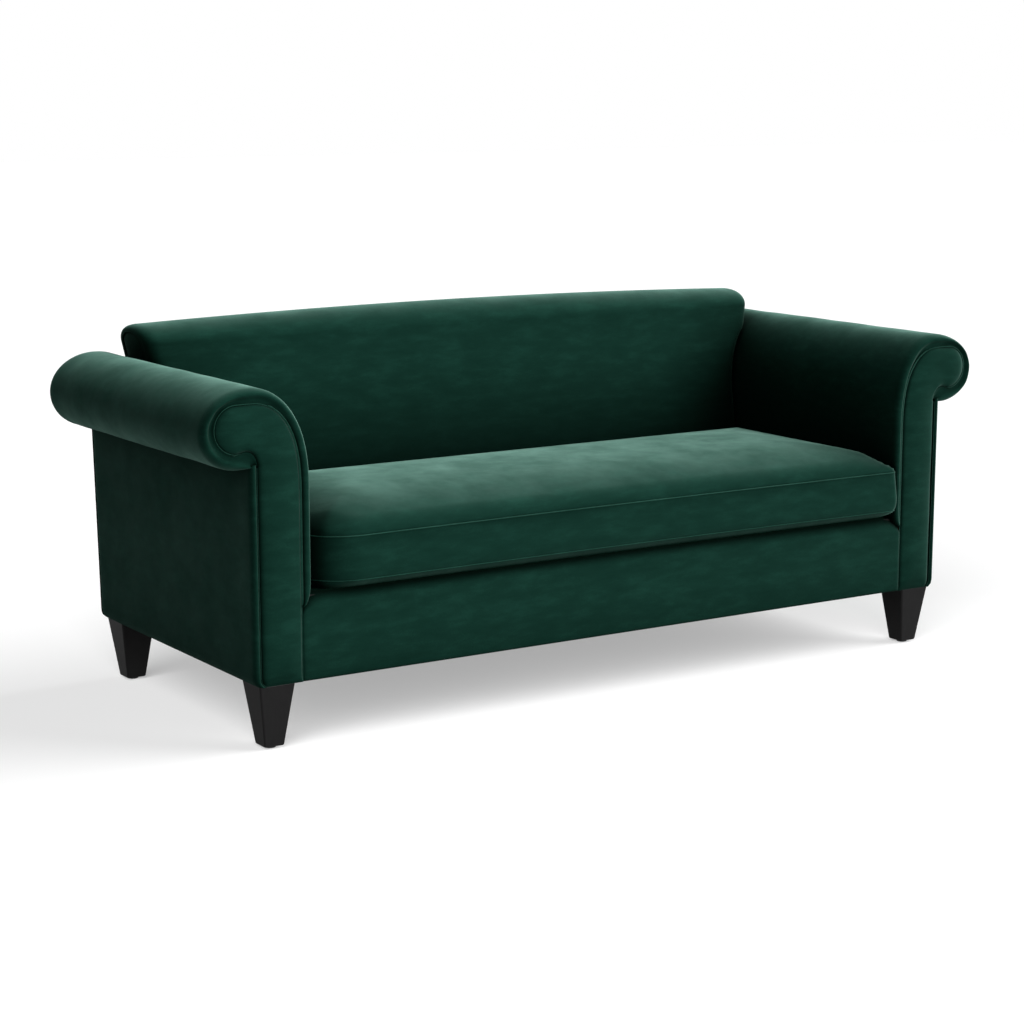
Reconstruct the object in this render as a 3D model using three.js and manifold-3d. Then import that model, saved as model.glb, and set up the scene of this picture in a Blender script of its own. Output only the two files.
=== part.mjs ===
// Upholstered sofa with scrolled arms, a tight back and one loose bench cushion.
// Millimetres. +X runs along the seat, +Y to the rear, +Z up.
// The finished group stands on Z = 0 with its depth centred on Y = 0. Inside the group, Y = 0 is the front of
// the arm facings, and the arms are modelled on the +X side and mirrored.
import * as THREE from "three";
import { mergeVertices } from "three/addons/utils/BufferGeometryUtils.js";
import Module from "manifold-3d";

const wasm = await Module();
wasm.setup();

// Overall sizes
const overallWidth = 2060; // across the arm rolls
const bodyDepth = 788; // facings to outside back, at the bottom
const backHeight = 832; // crest of the back at mid width
const legHeight = 140; // floor to the underside of the body
const seatHeight = 456; // where the depth of the back is measured

// Fits
const gap = 0.3; // between pieces that touch
const endPlay = 0.6; // between cloth edges that meet
const weldReach = 0.0003; // vertices this close are one
const overrun = 20; // how far a cutting tool passes its work

// Cloth and timber
const cloth = 3; // velvet with its lining
const boardThickness = 25;
const railThickness = 30;

// Arms
const armWidth = 130; // inside arm to the foot of the outside arm
const rollOver = 29; // middle of the roll beyond the foot of the outside arm
const armDrop = 76; // top of the arms below the crest of the back
const rollRadius = 82;
const rollSet = 28; // middle of the roll outside the top of the arm
const rollDrop = 6; // the roll's round falls this much lower than its radius gives
const flareHeight = 213;
const armLean = 2; // how far the outside arm leans out at the roll
const notchPlay = 0.5; // roll's end to the outside arm
const lipRadius = 13; // padded edge round the facing
const lipTurn = 150; // degrees that the lip turns through
const boardSet = 2.7; // scroll boards inside the edge of the facing
const facingSet = 1; // facing behind the foremost line of the lip
const facingEdge = 3; // round of the facing's edge
const weltDiameter = 8;
const panelThickness = 4;
const armRailSet = 19.4; // sides of the arm rail inside the hollow of the roll's padding
const armRailHeight = 40;
const tackRailWidth = 20;
const tackRailHeight = 54;

// Back
const rearSlope = 0.045; // how far the outside back leans, per unit of height
const backDepth = 188; // inside back at seat height to the foot of the outside back
const backTop = 168; // thickness of the back at its shoulder
const crestRise = 57; // crest of the back above its shoulder
const crestDrop = 14; // the crest falls this much towards the ends
const backSpread = 62; // each end past the inside arm, at the shoulder
const waistSpread = 51; // and where it meets the arm
const backEndRound = 35;
const backSidePlay = 1; // back to the inside arms
const backTack = 30; // cover behind the shoulder, down to its tack line
const postWidth = 40;
const postInset = 4; // post to the inside arm
const topRailHeight = 70;
const uprightWidth = 60;

// Seat base
const railHeight = 150; // top of the seat rails above the underside of the body
const borderSet = 3; // front border behind the lip's foremost line
const borderRound = 18;
const borderReturn = 75; // how far the border runs back over the deck
const deckRise = 12; // seat rails to the deck pad, room for the springs
const deckThickness = 16;
const stretcherWidth = 40;
const stretcherHeight = 60;
const blockDepth = 70;
const blockHeight = 60;
const dustThickness = 1.7;
const dustInset = 13; // edge of the dust cover inside the body

// Seat springs
const springCount = 8;
const springWire = 4;
const springSwing = 24; // half the width of a spring's waves
const springPitch = 104; // length of one whole wave
const springLanding = 14; // length that lies on a rail
const tieWire = 3;

// Legs
const legTop = 82;
const legFoot = 46;
const legSideInset = 8;
const legFaceInset = 9;
const glideDiameter = 24;
const glideHeight = 5;
const boltDiameter = 8;
const boltInLeg = 42;
const boltInBlock = 48;
const boltPlay = 0.3;

// Seat cushion
const cushionPlay = 2; // to each inside arm
const cushionReach = 12; // front of the cushion ahead of the facings
const cushionRear = 3; // cushion short of the inside back, at its bottom seam
const boxingHeight = 93; // between the bottom and top seams
const bottomRound = 21; // from the underside up to the bottom seam
const cushionCrown = 70;
const cushionCorner = 20;
const boxingSwell = 7; // boxing stands out between the seams
const longDraw = 8; // the front pulls in at mid length
const shortDraw = 4;
const cushionCloth = 4; // cover with its wadding
const zipInset = 169; // each end of the zip short of the inside arm
const zipHeight = 14;
const zipTape = 2;
const sliderLength = 14;
const sliderHeight = 8;
const sliderThickness = 4;

// Shares of the sizes that they follow
const springEdgeShare = 0.5; // end springs to the arms, in spring spacings
const tieShares = [0.36, 0.68]; // tie wires along the springs
const crownShares = [0.05, 0.16, 0.33, 0.6]; // ring insets of the cushion's top, over half its depth
const undersideShares = [0.55, 0.2, 0.08]; // ring insets of its underside
const flarePower = 2.3; // the flare's fullness; 2 is an ellipse
const crownPower = 3.4;
const drawPower = 8;
const roundingSlack = 0.01; // part of a step that sums of steps may be out by
const faceShares = [0, 0.35, 0.6, 0.75, 0.88]; // heights up the face of the back, foot to shoulder

// Faceting
const flareSteps = 9;
const curlSteps = 13;
const lipSteps = 5;
const roundSteps = 3;
const crestSteps = 8;
const backStations = 8;
const wireSides = 4;
const stepsPerWave = 6;
const boltSides = 14;
const glideSides = 18;
const weltSides = 10;
const edgeSteps = 2;
const cushionLongSteps = 9;
const cushionShortSteps = 5;
const cushionCornerSteps = 4;

// Places worked out from the sizes
const bodyWidth = overallWidth - 2 * (rollRadius + rollOver);
const seatWidth = bodyWidth - 2 * armWidth;
const seatDepth = bodyDepth - backDepth;
const armHeight = backHeight - armDrop;
const shoulderHeight = backHeight - crestRise;
const armInner = seatWidth / 2;
const backHalf = armInner + backSpread;
const waistHalf = armInner + waistSpread;
const curlX = overallWidth / 2 - rollRadius;
const curlZ = armHeight - rollDrop - rollRadius;
const flareX = curlX - rollSet;
const flareWidth = flareX - armInner;
const flareZ = armHeight - flareHeight;
const bodyHalf = bodyWidth / 2;
const footZ = legHeight + gap;
const timberZ = footZ + dustThickness + gap;
const railTop = legHeight + railHeight;
const deckZ = railTop + deckRise;
const deckTop = deckZ + deckThickness;
const springCrown = deckRise - springWire - 2 * gap; // rise of a spring at mid length
const borderTop = deckTop + gap + cloth;
const armFoot = borderTop + gap;
const deckFront = borderSet + borderRound + gap;
const lipInset = lipRadius * (1 - Math.cos(THREE.MathUtils.degToRad(lipTurn)));
const facingInset = lipInset + endPlay;
const lipHollow = lipRadius - cloth; // inner radius of the lip's cloth
const padInset = cloth + gap;
const boardInset = facingInset + boardSet;
const armPad = boardInset - gap - padInset;
const armRailWidth = 2 * (rollRadius - boardInset - armRailSet);
const rearRound = boardInset - gap; // the arm's rear edge is rounded by its padding
const facingBack = lipRadius - gap;
const boardBack = lipRadius + boardThickness;
const outsideTop = bodyHalf + armLean;
const notchX = outsideX(curlZ - rollRadius) + notchPlay;
const notchAngle = -Math.acos((notchX - curlX) / rollRadius);
const outsideArmTop = curlZ - Math.sqrt((rollRadius - facingInset) ** 2 - (curlX - notchX) ** 2) - gap;
const armRear = panelThickness + gap; // arm pieces end this far ahead of the outside back
const timberRear = armRear + gap;
const tackZ = shoulderHeight - backTack;
const backOnArm = flareZ + flareHeight * full(1 - ((flareX - waistHalf) / flareWidth) ** flarePower);
const backEndSlope = (backHalf - waistHalf) / (shoulderHeight - backOnArm);
const backEndFoot = (flareZ + backOnArm) / 2; // the ends' facings run on down to here behind the arms
const deckHalf = armInner + boardInset - gap;
const sideRailOuter = Math.min(outsideX(footZ), outsideX(railTop)) - panelThickness - gap;

// One coordinate of the flare, as a share of its size, from what the other one leaves over.
function full(left) {
  return left ** (1 / flarePower);
}

// Outer face of the outside arm at a height.
function outsideX(z) {
  return bodyHalf + (armLean * (z - legHeight)) / (curlZ - legHeight);
}

// Outer face of the outside back at a height.
function rearY(z) {
  return bodyDepth + rearSlope * (z - legHeight);
}

// Front face of the back at a height: a straight line from the seat to the shoulder.
function backFaceY(z) {
  const shoulderY = rearY(shoulderHeight) - backTop;
  return seatDepth + ((shoulderY - seatDepth) * (z - seatHeight)) / (shoulderHeight - seatHeight);
}

// Half width at a height of the part of the back that leans out free of the arms.
function freeEndX(z) {
  return backHalf - backEndSlope * (shoulderHeight - z);
}

// Half width of the back at a height: it follows the inside arms up to where it is free.
function backEndX(z) {
  const rise = THREE.MathUtils.clamp((z - flareZ) / flareHeight, 0, 1);
  const besideArm = flareX - flareWidth * full(1 - rise ** flarePower) - backSidePlay;
  return Math.min(besideArm, freeEndX(z));
}

// Top of the back at a place along it.
function crestZ(x) {
  return backHeight - crestDrop * (x / backHalf) ** 2;
}

// Building blocks

// A closed body from points and triangles, turned so that its faces point outwards.
function body(points, faces) {
  const volume = faces.reduce((sum, [a, b, c]) => {
    const [p, q, r] = [points[a], points[b], points[c]];
    return sum + p[0] * (q[1] * r[2] - q[2] * r[1]) + p[1] * (q[2] * r[0] - q[0] * r[2])
      + p[2] * (q[0] * r[1] - q[1] * r[0]);
  }, 0);
  const turned = volume > 0 ? faces : faces.map(([a, b, c]) => [a, c, b]);
  const geometry = new THREE.BufferGeometry();
  geometry.setAttribute("position", new THREE.Float32BufferAttribute(points.flat(), 3));
  geometry.setIndex(turned.flat());
  return geometry;
}

// A sheet with thickness: two grids of points with the same rows and columns, closed round their edges.
function sheet(outer, inner) {
  const rows = outer.length;
  const columns = outer[0].length;
  const points = [...outer.flat(), ...inner.flat()];
  const out = (r, c) => r * columns + c;
  const back = (r, c) => rows * columns + out(r, c);
  const faces = [];
  const quad = (a, b, c, d) => faces.push([a, b, c], [a, c, d]);
  for (let r = 0; r < rows - 1; r++) {
    for (let c = 0; c < columns - 1; c++) {
      quad(out(r, c), out(r, c + 1), out(r + 1, c + 1), out(r + 1, c));
      quad(back(r, c), back(r + 1, c), back(r + 1, c + 1), back(r, c + 1));
    }
    quad(out(r, 0), out(r + 1, 0), back(r + 1, 0), back(r, 0));
    quad(out(r + 1, columns - 1), out(r, columns - 1), back(r, columns - 1), back(r + 1, columns - 1));
  }
  for (let c = 0; c < columns - 1; c++) {
    quad(out(0, c + 1), out(0, c), back(0, c), back(0, c + 1));
    quad(out(rows - 1, c), out(rows - 1, c + 1), back(rows - 1, c + 1), back(rows - 1, c));
  }
  return body(points, faces);
}

// A solid from rings of points, one above the other, closed by a fan to a point at each end.
function stack(rings, first, last) {
  const count = rings[0].length;
  const points = [...rings.flat(), first, last];
  const faces = [];
  rings.slice(1).forEach((_, r) => {
    for (let i = 0; i < count; i++) {
      const [a, b] = [r * count + i, r * count + ((i + 1) % count)];
      faces.push([a, b, b + count], [a, b + count, a + count]);
    }
  });
  const top = (rings.length - 1) * count;
  for (let i = 0; i < count; i++) {
    const j = (i + 1) % count;
    faces.push([points.length - 2, j, i], [points.length - 1, top + i, top + j]);
  }
  return body(points, faces);
}

// A solid from closed convex rings of points side by side, each end closed by a fan from its last point.
function loft(rings) {
  const count = rings[0].length;
  const last = (rings.length - 1) * count;
  const faces = [];
  for (let i = 0; i < count - 2; i++) {
    faces.push([count - 1, i + 1, i], [last + count - 1, last + i, last + i + 1]);
  }
  rings.slice(1).forEach((_, r) => {
    for (let i = 0; i < count; i++) {
      const [a, b] = [r * count + i, r * count + ((i + 1) % count)];
      faces.push([a, b, b + count], [a, b + count, a + count]);
    }
  });
  return body(rings.flat(), faces);
}

function shapeOf(outline) {
  return new THREE.Shape(outline.map(([u, v]) => new THREE.Vector2(u, v)));
}

// A plate whose outline is seen from the front, from y0 back to y1.
function frontPlate(outline, y0, y1, edge = 0) {
  const geometry = new THREE.ExtrudeGeometry(shapeOf(outline), {
    depth: y1 - y0 - 2 * edge,
    bevelEnabled: edge > 0,
    bevelThickness: edge,
    bevelSize: edge,
    bevelOffset: -edge,
    bevelSegments: edgeSteps,
  });
  geometry.translate(0, 0, edge);
  geometry.rotateX(Math.PI / 2);
  geometry.translate(0, y1, 0);
  return geometry;
}

// A bar along X whose outline is seen from the side.
function sideBar(outline, x0, x1) {
  const geometry = new THREE.ExtrudeGeometry(shapeOf(outline), { depth: x1 - x0, bevelEnabled: false });
  geometry.rotateY(Math.PI / 2);
  geometry.rotateX(Math.PI / 2);
  geometry.translate(x0, 0, 0);
  return geometry;
}

// A board between two corners.
function board(x0, x1, y0, y1, z0, z1) {
  const geometry = new THREE.BoxGeometry(x1 - x0, y1 - y0, z1 - z0);
  geometry.translate((x0 + x1) / 2, (y0 + y1) / 2, (z0 + z1) / 2);
  return geometry;
}

// Leans a piece made against an upright rear face to the slope of the outside back.
function lean(geometry) {
  geometry.applyMatrix4(new THREE.Matrix4().makeShear(0, 0, 0, 0, 0, rearSlope));
  geometry.translate(0, -rearSlope * legHeight, 0);
  return geometry;
}

// Leans a piece made against an upright end of the back to that end's slope.
function leanEnd(geometry, mirror) {
  geometry.applyMatrix4(new THREE.Matrix4().makeShear(0, 0, 0, 0, mirror * backEndSlope, 0));
  geometry.translate(-mirror * backEndSlope * shoulderHeight, 0, 0);
  return geometry;
}

function solid(geometry) {
  const bare = geometry.clone();
  bare.deleteAttribute("normal");
  bare.deleteAttribute("uv");
  const merged = mergeVertices(bare, weldReach);
  return new wasm.Manifold(new wasm.Mesh({
    numProp: 3,
    vertProperties: merged.attributes.position.array,
    triVerts: new Uint32Array(merged.index.array),
  }));
}

function geometryOf(made) {
  const mesh = made.getMesh();
  const geometry = new THREE.BufferGeometry();
  geometry.setAttribute("position", new THREE.BufferAttribute(mesh.vertProperties, 3));
  geometry.setIndex(new THREE.BufferAttribute(mesh.triVerts, 1));
  return geometry;
}

function cut(geometry, ...tools) {
  return geometryOf(tools.reduce((work, tool) => work.subtract(solid(tool)), solid(geometry)));
}

// Materials
const velvet = new THREE.MeshStandardMaterial({ color: 0x12352b, roughness: 0.85, metalness: 0 });
const timber = new THREE.MeshStandardMaterial({ color: 0xb98d5e, roughness: 0.7, metalness: 0 });
const blackLacquer = new THREE.MeshStandardMaterial({ color: 0x17161a, roughness: 0.4, metalness: 0 });
const steel = new THREE.MeshStandardMaterial({ color: 0x8d9094, roughness: 0.35, metalness: 1 });
const padding = new THREE.MeshStandardMaterial({ color: 0xe9e4d4, roughness: 0.95, metalness: 0 });
const foam = new THREE.MeshStandardMaterial({ color: 0xf0e2b0, roughness: 0.9, metalness: 0 });
const deckCloth = new THREE.MeshStandardMaterial({ color: 0x2b2f2d, roughness: 0.9, metalness: 0 });
const dustCloth = new THREE.MeshStandardMaterial({ color: 0x18191a, roughness: 0.95, metalness: 0 });
const nylon = new THREE.MeshStandardMaterial({ color: 0x10221c, roughness: 0.6, metalness: 0 });

function piece(name, geometry, material) {
  const mesh = new THREE.Mesh(geometry, material);
  mesh.name = name;
  mesh.geometry.computeVertexNormals();
  return mesh;
}

// Arms

// The line of an arm seen from the front, inset from its surface: up the inside, over the flare and round the
// roll to an angle. The roll is an ellipse's quarter down to its outermost point, then a circle.
function armLine(inset, fromZ, endAngle) {
  const line = [[armInner + inset, fromZ]];
  for (let i = 0; i <= flareSteps; i++) {
    const angle = Math.PI - ((Math.PI / 2) * i) / flareSteps;
    line.push([
      flareX - (flareWidth - inset) * full(Math.cos(angle) ** 2),
      flareZ + (flareHeight - inset) * full(Math.sin(angle) ** 2),
    ]);
  }
  const step = (Math.PI / 2 - notchAngle) / curlSteps;
  const turns = Math.ceil((Math.PI / 2 - endAngle) / step - roundingSlack);
  for (let i = 0; i <= turns; i++) {
    const angle = i < turns ? Math.PI / 2 - i * step : endAngle;
    const [set, drop] = angle > 0 ? [rollSet, rollDrop] : [0, 0];
    line.push([
      curlX - set + (rollRadius + set - inset) * Math.cos(angle),
      curlZ + (rollRadius + drop - inset) * Math.sin(angle),
    ]);
  }
  return line;
}

// A closed J outline: the arm line, then down the outer side to the foot.
function scrollOutline(inset, sideInset, fromZ) {
  const radius = rollRadius - inset;
  const endAngle = -Math.acos((outsideTop - sideInset - curlX) / radius);
  return [...armLine(inset, fromZ, endAngle), [outsideX(fromZ) - sideInset, fromZ]];
}

// Depth stations of an arm skin, each a way to turn a point of the arm line into a point in space.
// The lip turns in round the facing, and the rear edge turns in towards the outside back.
function armStations(depth) {
  const stations = [];
  const turn = THREE.MathUtils.degToRad(lipTurn);
  const lip = depth > 0 ? lipHollow : lipRadius;
  for (let i = lipSteps; i >= 0; i--) {
    const angle = (turn * i) / lipSteps;
    stations.push({ inset: lipRadius - lip * Math.cos(angle), y: () => lipRadius - lip * Math.sin(angle) });
  }
  for (let i = 0; i <= roundSteps; i++) {
    const angle = ((Math.PI / 2) * i) / roundSteps;
    const radius = rearRound - depth;
    stations.push({
      inset: rearRound - radius * Math.cos(angle),
      y: (z) => rearY(z) - armRear - rearRound + radius * Math.sin(angle),
    });
  }
  return stations;
}

function armSkin(depth) {
  return armStations(depth).map(({ inset, y }) =>
    armLine(inset, armFoot, notchAngle).map(([x, z]) => [x, y(z), z]));
}

function armCover() {
  return sheet(armSkin(0), armSkin(cloth));
}

function armPadding() {
  const layer = (inset) =>
    [lipRadius, (lipRadius + bodyDepth) / 2, null].map((station) =>
      armLine(inset, armFoot, notchAngle).map(([x, z]) => [
        x, station ?? rearY(z) - armRear - rearRound, z,
      ]));
  return sheet(layer(padInset), layer(padInset + armPad));
}

function armFacing() {
  const outline = scrollOutline(facingInset, weltDiameter + endPlay, footZ);
  return frontPlate(outline, facingSet, facingBack, facingEdge);
}

// The welt runs down the outer edge of the facing from the notch.
function facingWelt() {
  const radius = weltDiameter / 2;
  const top = curlZ - (rollRadius - facingInset) * Math.sin(Math.PI - Math.abs(notchAngle));
  const path = new THREE.LineCurve3(
    new THREE.Vector3(outsideX(footZ) - radius, facingSet + radius, footZ),
    new THREE.Vector3(outsideX(top) - radius, facingSet + radius, top),
  );
  const section = new THREE.Shape().absarc(0, 0, radius, 0, 2 * Math.PI);
  return new THREE.ExtrudeGeometry(section, {
    extrudePath: path, steps: 1, curveSegments: weltSides / 2, bevelEnabled: false,
  });
}

function outsideArm() {
  const face = (inset) =>
    [footZ, outsideArmTop].map((z) => [
      [outsideX(z) - inset, facingSet + weltDiameter + gap, z],
      [outsideX(z) - inset, rearY(z) - armRear, z],
    ]);
  return sheet(face(0), face(panelThickness));
}

function scrollBoard() {
  return scrollOutline(boardInset, panelThickness + gap, timberZ);
}

const rearBoardFront = bodyDepth - timberRear - boardThickness;

function armPieces(side) {
  const arm = new THREE.Group();
  arm.add(
    piece(`arm_cover_${side}`, armCover(), velvet),
    piece(`arm_padding_${side}`, armPadding(), padding),
    piece(`arm_facing_${side}`, armFacing(), velvet),
    piece(`facing_welt_${side}`, facingWelt(), velvet),
    piece(`outside_arm_${side}`, outsideArm(), velvet),
    piece(`scroll_board_front_${side}`, frontPlate(scrollBoard(), lipRadius, boardBack), timber),
    piece(
      `scroll_board_rear_${side}`,
      lean(frontPlate(scrollBoard(), rearBoardFront, bodyDepth - timberRear)),
      timber,
    ),
    piece(
      `side_rail_${side}`,
      board(sideRailOuter - railThickness, sideRailOuter, boardBack + gap, rearBoardFront - gap,
        timberZ, railTop),
      timber,
    ),
    piece(
      `tack_rail_${side}`,
      board(armInner + boardInset, armInner + boardInset + tackRailWidth, boardBack + gap,
        rearBoardFront - gap, borderTop - tackRailHeight, borderTop),
      timber,
    ),
    piece(
      `arm_rail_${side}`,
      board(curlX - armRailWidth / 2, curlX + armRailWidth / 2, boardBack + gap,
        rearBoardFront + rearSlope * (curlZ - armRailHeight / 2 - legHeight) - gap,
        curlZ - armRailHeight / 2, curlZ + armRailHeight / 2),
      timber,
    ),
  );
  return arm;
}

// Space that an arm and its running gap take, as a cutter for the back.
function armCutter(play, mirror) {
  const outline = [
    ...armLine(-play, legHeight - overrun, 0),
    [curlX + rollRadius + overrun, legHeight - overrun],
  ].map(([x, z]) => [mirror * x, z]);
  return frontPlate(outline, -overrun, bodyDepth + 2 * backTop);
}

// Back

// The line of the back seen from the side at a height of crest, inset from its surface: up the front, over the
// crest and down to the shoulder's rear. The crest keeps its proportions as it draws in.
function backLine(inset, crest, foot, shares) {
  const line = shares.map((share) => {
    const z = foot + share * (shoulderHeight - foot);
    return [backFaceY(z) + inset, z];
  });
  const front = backFaceY(shoulderHeight);
  const rear = rearY(shoulderHeight);
  const half = (rear - front) / 2;
  const rise = (crest - shoulderHeight) * (1 - inset / half);
  for (let i = 0; i <= crestSteps; i++) {
    const angle = Math.PI - (Math.PI * i) / crestSteps;
    line.push([front + half + (half - inset) * Math.cos(angle), shoulderHeight + rise * Math.sin(angle)]);
  }
  return line;
}

// Stations along the back, from end to end. Near an end the section draws in round the end's edge.
function backStationsAt(depth) {
  const radius = backEndRound - depth;
  const stations = [];
  for (let i = roundSteps; i > 0; i--) {
    const angle = ((Math.PI / 2) * i) / roundSteps;
    stations.push({ end: -1, out: radius * Math.sin(angle), inset: backEndRound - radius * Math.cos(angle) });
  }
  for (let i = 0; i <= backStations; i++) {
    stations.push({ along: -1 + (2 * i) / backStations, out: 0, inset: depth });
  }
  for (let i = 1; i <= roundSteps; i++) {
    const angle = ((Math.PI / 2) * i) / roundSteps;
    stations.push({ end: 1, out: radius * Math.sin(angle), inset: backEndRound - radius * Math.cos(angle) });
  }
  return stations;
}

function backGrid(depth, foot, shares, tail) {
  return backStationsAt(depth).map(({ end, out, along, inset }) => {
    const nominal = end ? end * backHalf : along * (backHalf - backEndRound);
    const line = [...backLine(inset, crestZ(nominal), foot, shares), tail(inset, out)];
    return line.map(([y, z, reach = backEndX(z)]) => {
      const half = reach - backEndRound;
      return [end ? end * (half + out) : along * half, y, z];
    });
  });
}

// The cover is tacked off behind the shoulder. Round each end its tack line drops to the arm, and from where it
// has turned in past the outside back it runs on down inside it.
function insideBack() {
  const grid = (depth) => backGrid(depth, deckTop + gap, faceShares, (inset, out) => {
    const turnedIn = Math.max(0, inset - panelThickness - cloth);
    const z = tackZ - (out * (tackZ - backOnArm)) / (backEndRound - depth) - turnedIn;
    return [rearY(z) - inset, z, freeEndX(z)];
  });
  const skin = sheet(grid(0), grid(cloth));
  return cut(skin, armCutter(notchPlay, 1), armCutter(notchPlay, -1));
}

// The end of the back above the arm, closed by a small facing inside the turned edge.
function backEnd(mirror) {
  const inset = backEndRound + endPlay;
  const line = backLine(inset, crestZ(backHalf), backEndFoot, [0]);
  const outline = [...line, [rearY(tackZ) - inset, tackZ], [rearY(backEndFoot) - inset, backEndFoot]];
  const [x0, x1] = [backHalf - cloth - gap - panelThickness, backHalf - cloth / 2];
  const plate = sideBar(outline, mirror > 0 ? x0 : -x1, mirror > 0 ? x1 : -x0);
  return cut(leanEnd(plate, mirror), armCutter(notchPlay, mirror));
}

function backPadding() {
  const foot = deckTop + gap;
  const ledge = shoulderHeight + gap;
  const form = loft(backGrid(padInset, foot, faceShares, (inset) => [rearY(foot) - inset, foot]));
  const spaceDepth = Math.max(backEndRound, timberRear + railThickness) + gap;
  const frameSpace = lean(board(-backHalf, backHalf, bodyDepth - spaceDepth, bodyDepth + overrun,
    legHeight, ledge));
  const end = backHalf - cloth - 2 * gap - panelThickness - endPlay;
  const trim = (mirror) => leanEnd(
    board(Math.min(mirror * end, mirror * bodyHalf), Math.max(mirror * end, mirror * bodyHalf),
      0, bodyDepth + backTop, backEndFoot, backHeight + overrun),
    mirror,
  );
  return cut(form, frameSpace, armCutter(notchPlay, 1), armCutter(notchPlay, -1), trim(1), trim(-1));
}

function outsideBack() {
  const rollTrim = rearRound / 2;
  const side = [[outsideX(footZ) - gap, footZ], [outsideTop - gap, curlZ - rollRadius - rollTrim]];
  const arc = armLine(rollTrim, flareZ, notchAngle).slice(flareSteps + 1).reverse();
  const flare = armLine(rollTrim, flareZ, notchAngle).slice(1, flareSteps + 1).reverse();
  const shoulder = flare.filter(([x]) => x > waistHalf + endPlay);
  const top = [[waistHalf, backOnArm - cloth], [backEndX(tackZ) - backEndRound, tackZ - cloth]];
  const half = [...side, ...arc, ...shoulder, ...top];
  const mirrored = half.map(([x, z]) => [-x, z]).reverse();
  return lean(frontPlate([...half, ...mirrored], bodyDepth - panelThickness, bodyDepth));
}

function backPieces() {
  const back = new THREE.Group();
  const frameRear = bodyDepth - timberRear;
  const frameFront = frameRear - railThickness;
  const postOuter = armInner - postInset;
  const topRailFoot = shoulderHeight - topRailHeight;
  const upright = (x0, x1) =>
    lean(board(x0, x1, frameFront, frameRear, railTop + gap, topRailFoot - gap));
  back.add(
    piece("inside_back_cover", insideBack(), velvet),
    piece("back_end_left", backEnd(-1), velvet),
    piece("back_end_right", backEnd(1), velvet),
    piece("back_padding", backPadding(), foam),
    piece("outside_back", outsideBack(), velvet),
    piece("back_post_left", upright(-postOuter, postWidth - postOuter), timber),
    piece("back_post_right", upright(postOuter - postWidth, postOuter), timber),
    piece("back_upright_centre", upright(-uprightWidth / 2, uprightWidth / 2), timber),
    piece(
      "back_top_rail",
      lean(board(-postOuter, postOuter, frameFront, frameRear, topRailFoot, shoulderHeight)),
      timber,
    ),
    piece(
      "back_rail",
      lean(board(-deckHalf, deckHalf, frameFront, frameRear, timberZ, railTop)),
      timber,
    ),
  );
  return back;
}

// Seat base

// The front border stands on the front rail with its edge roll ahead of the deck, and is tacked on the deck.
function frontBorder() {
  const rear = lipRadius - gap;
  const outline = [[borderSet, footZ], [rear, footZ], [rear, railTop + gap], [deckFront - gap, railTop + gap],
    [deckFront - gap, deckTop + gap], [borderReturn, deckTop + gap], [borderReturn, borderTop]];
  for (let i = 0; i <= 2 * roundSteps; i++) {
    const angle = Math.PI / 2 + ((Math.PI / 2) * i) / (2 * roundSteps);
    outline.push([
      borderSet + borderRound + borderRound * Math.cos(angle),
      borderTop - borderRound + borderRound * Math.sin(angle),
    ]);
  }
  const half = armInner + facingInset - endPlay;
  return sideBar(outline, -half, half);
}

// One zigzag spring: flat waves of wire that rise a little between the two rails.
class SpringLine extends THREE.Curve {
  constructor(x, y0, y1, z) {
    super();
    Object.assign(this, { x, y0, y1, z });
  }

  getPoint(t, target = new THREE.Vector3()) {
    const length = this.y1 - this.y0;
    const landing = springLanding / length;
    const waves = Math.round((length - 2 * springLanding) / springPitch);
    const run = THREE.MathUtils.clamp((t - landing) / (1 - 2 * landing), 0, 1);
    return target.set(
      this.x + springSwing * Math.sin(2 * Math.PI * waves * run),
      this.y0 + t * length,
      this.z + springCrown * Math.sin(Math.PI * run),
    );
  }
}

function springUnit() {
  const y0 = boardBack - springLanding / 2;
  const y1 = rearY(railTop) - timberRear - springLanding / 2;
  const z = railTop + gap + springWire / 2;
  const spacing = seatWidth / (springCount - 1 + 2 * springEdgeShare);
  const firstX = -armInner + springEdgeShare * spacing;
  const waves = Math.round((y1 - y0 - 2 * springLanding) / springPitch);
  const half = springWire / 2;
  const section = new THREE.Shape([[-half, 0], [0, -half], [half, 0], [0, half]]
    .map(([u, v]) => new THREE.Vector2(u, v)));
  let unit = null;
  for (let i = 0; i < springCount; i++) {
    const wire = new THREE.ExtrudeGeometry(section, {
      extrudePath: new SpringLine(firstX + i * spacing, y0, y1, z),
      steps: waves * stepsPerWave,
      bevelEnabled: false,
    });
    unit = unit ? unit.add(solid(wire)) : solid(wire);
  }
  for (const share of tieShares) {
    const rod = new THREE.CylinderGeometry(tieWire / 2, tieWire / 2, seatWidth - 2 * springLanding, wireSides);
    rod.rotateZ(Math.PI / 2);
    rod.translate(0, y0 + share * (y1 - y0), z + springCrown * Math.sin(Math.PI * share));
    unit = unit.add(solid(rod));
  }
  return geometryOf(unit);
}

function dustCover() {
  const half = bodyHalf - dustInset;
  const outline = [[-half, lipRadius + gap], [half, lipRadius + gap],
    [half, bodyDepth - panelThickness - gap], [-half, bodyDepth - panelThickness - gap]];
  const shape = shapeOf(outline);
  for (const { x, y } of legPlaces()) {
    shape.holes.push(new THREE.Path().absarc(x, y, boltDiameter / 2 + 2 * boltPlay, 0, 2 * Math.PI));
  }
  const geometry = new THREE.ExtrudeGeometry(shape, {
    depth: dustThickness, bevelEnabled: false, curveSegments: boltSides / 2,
  });
  geometry.translate(0, 0, footZ);
  return geometry;
}

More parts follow.
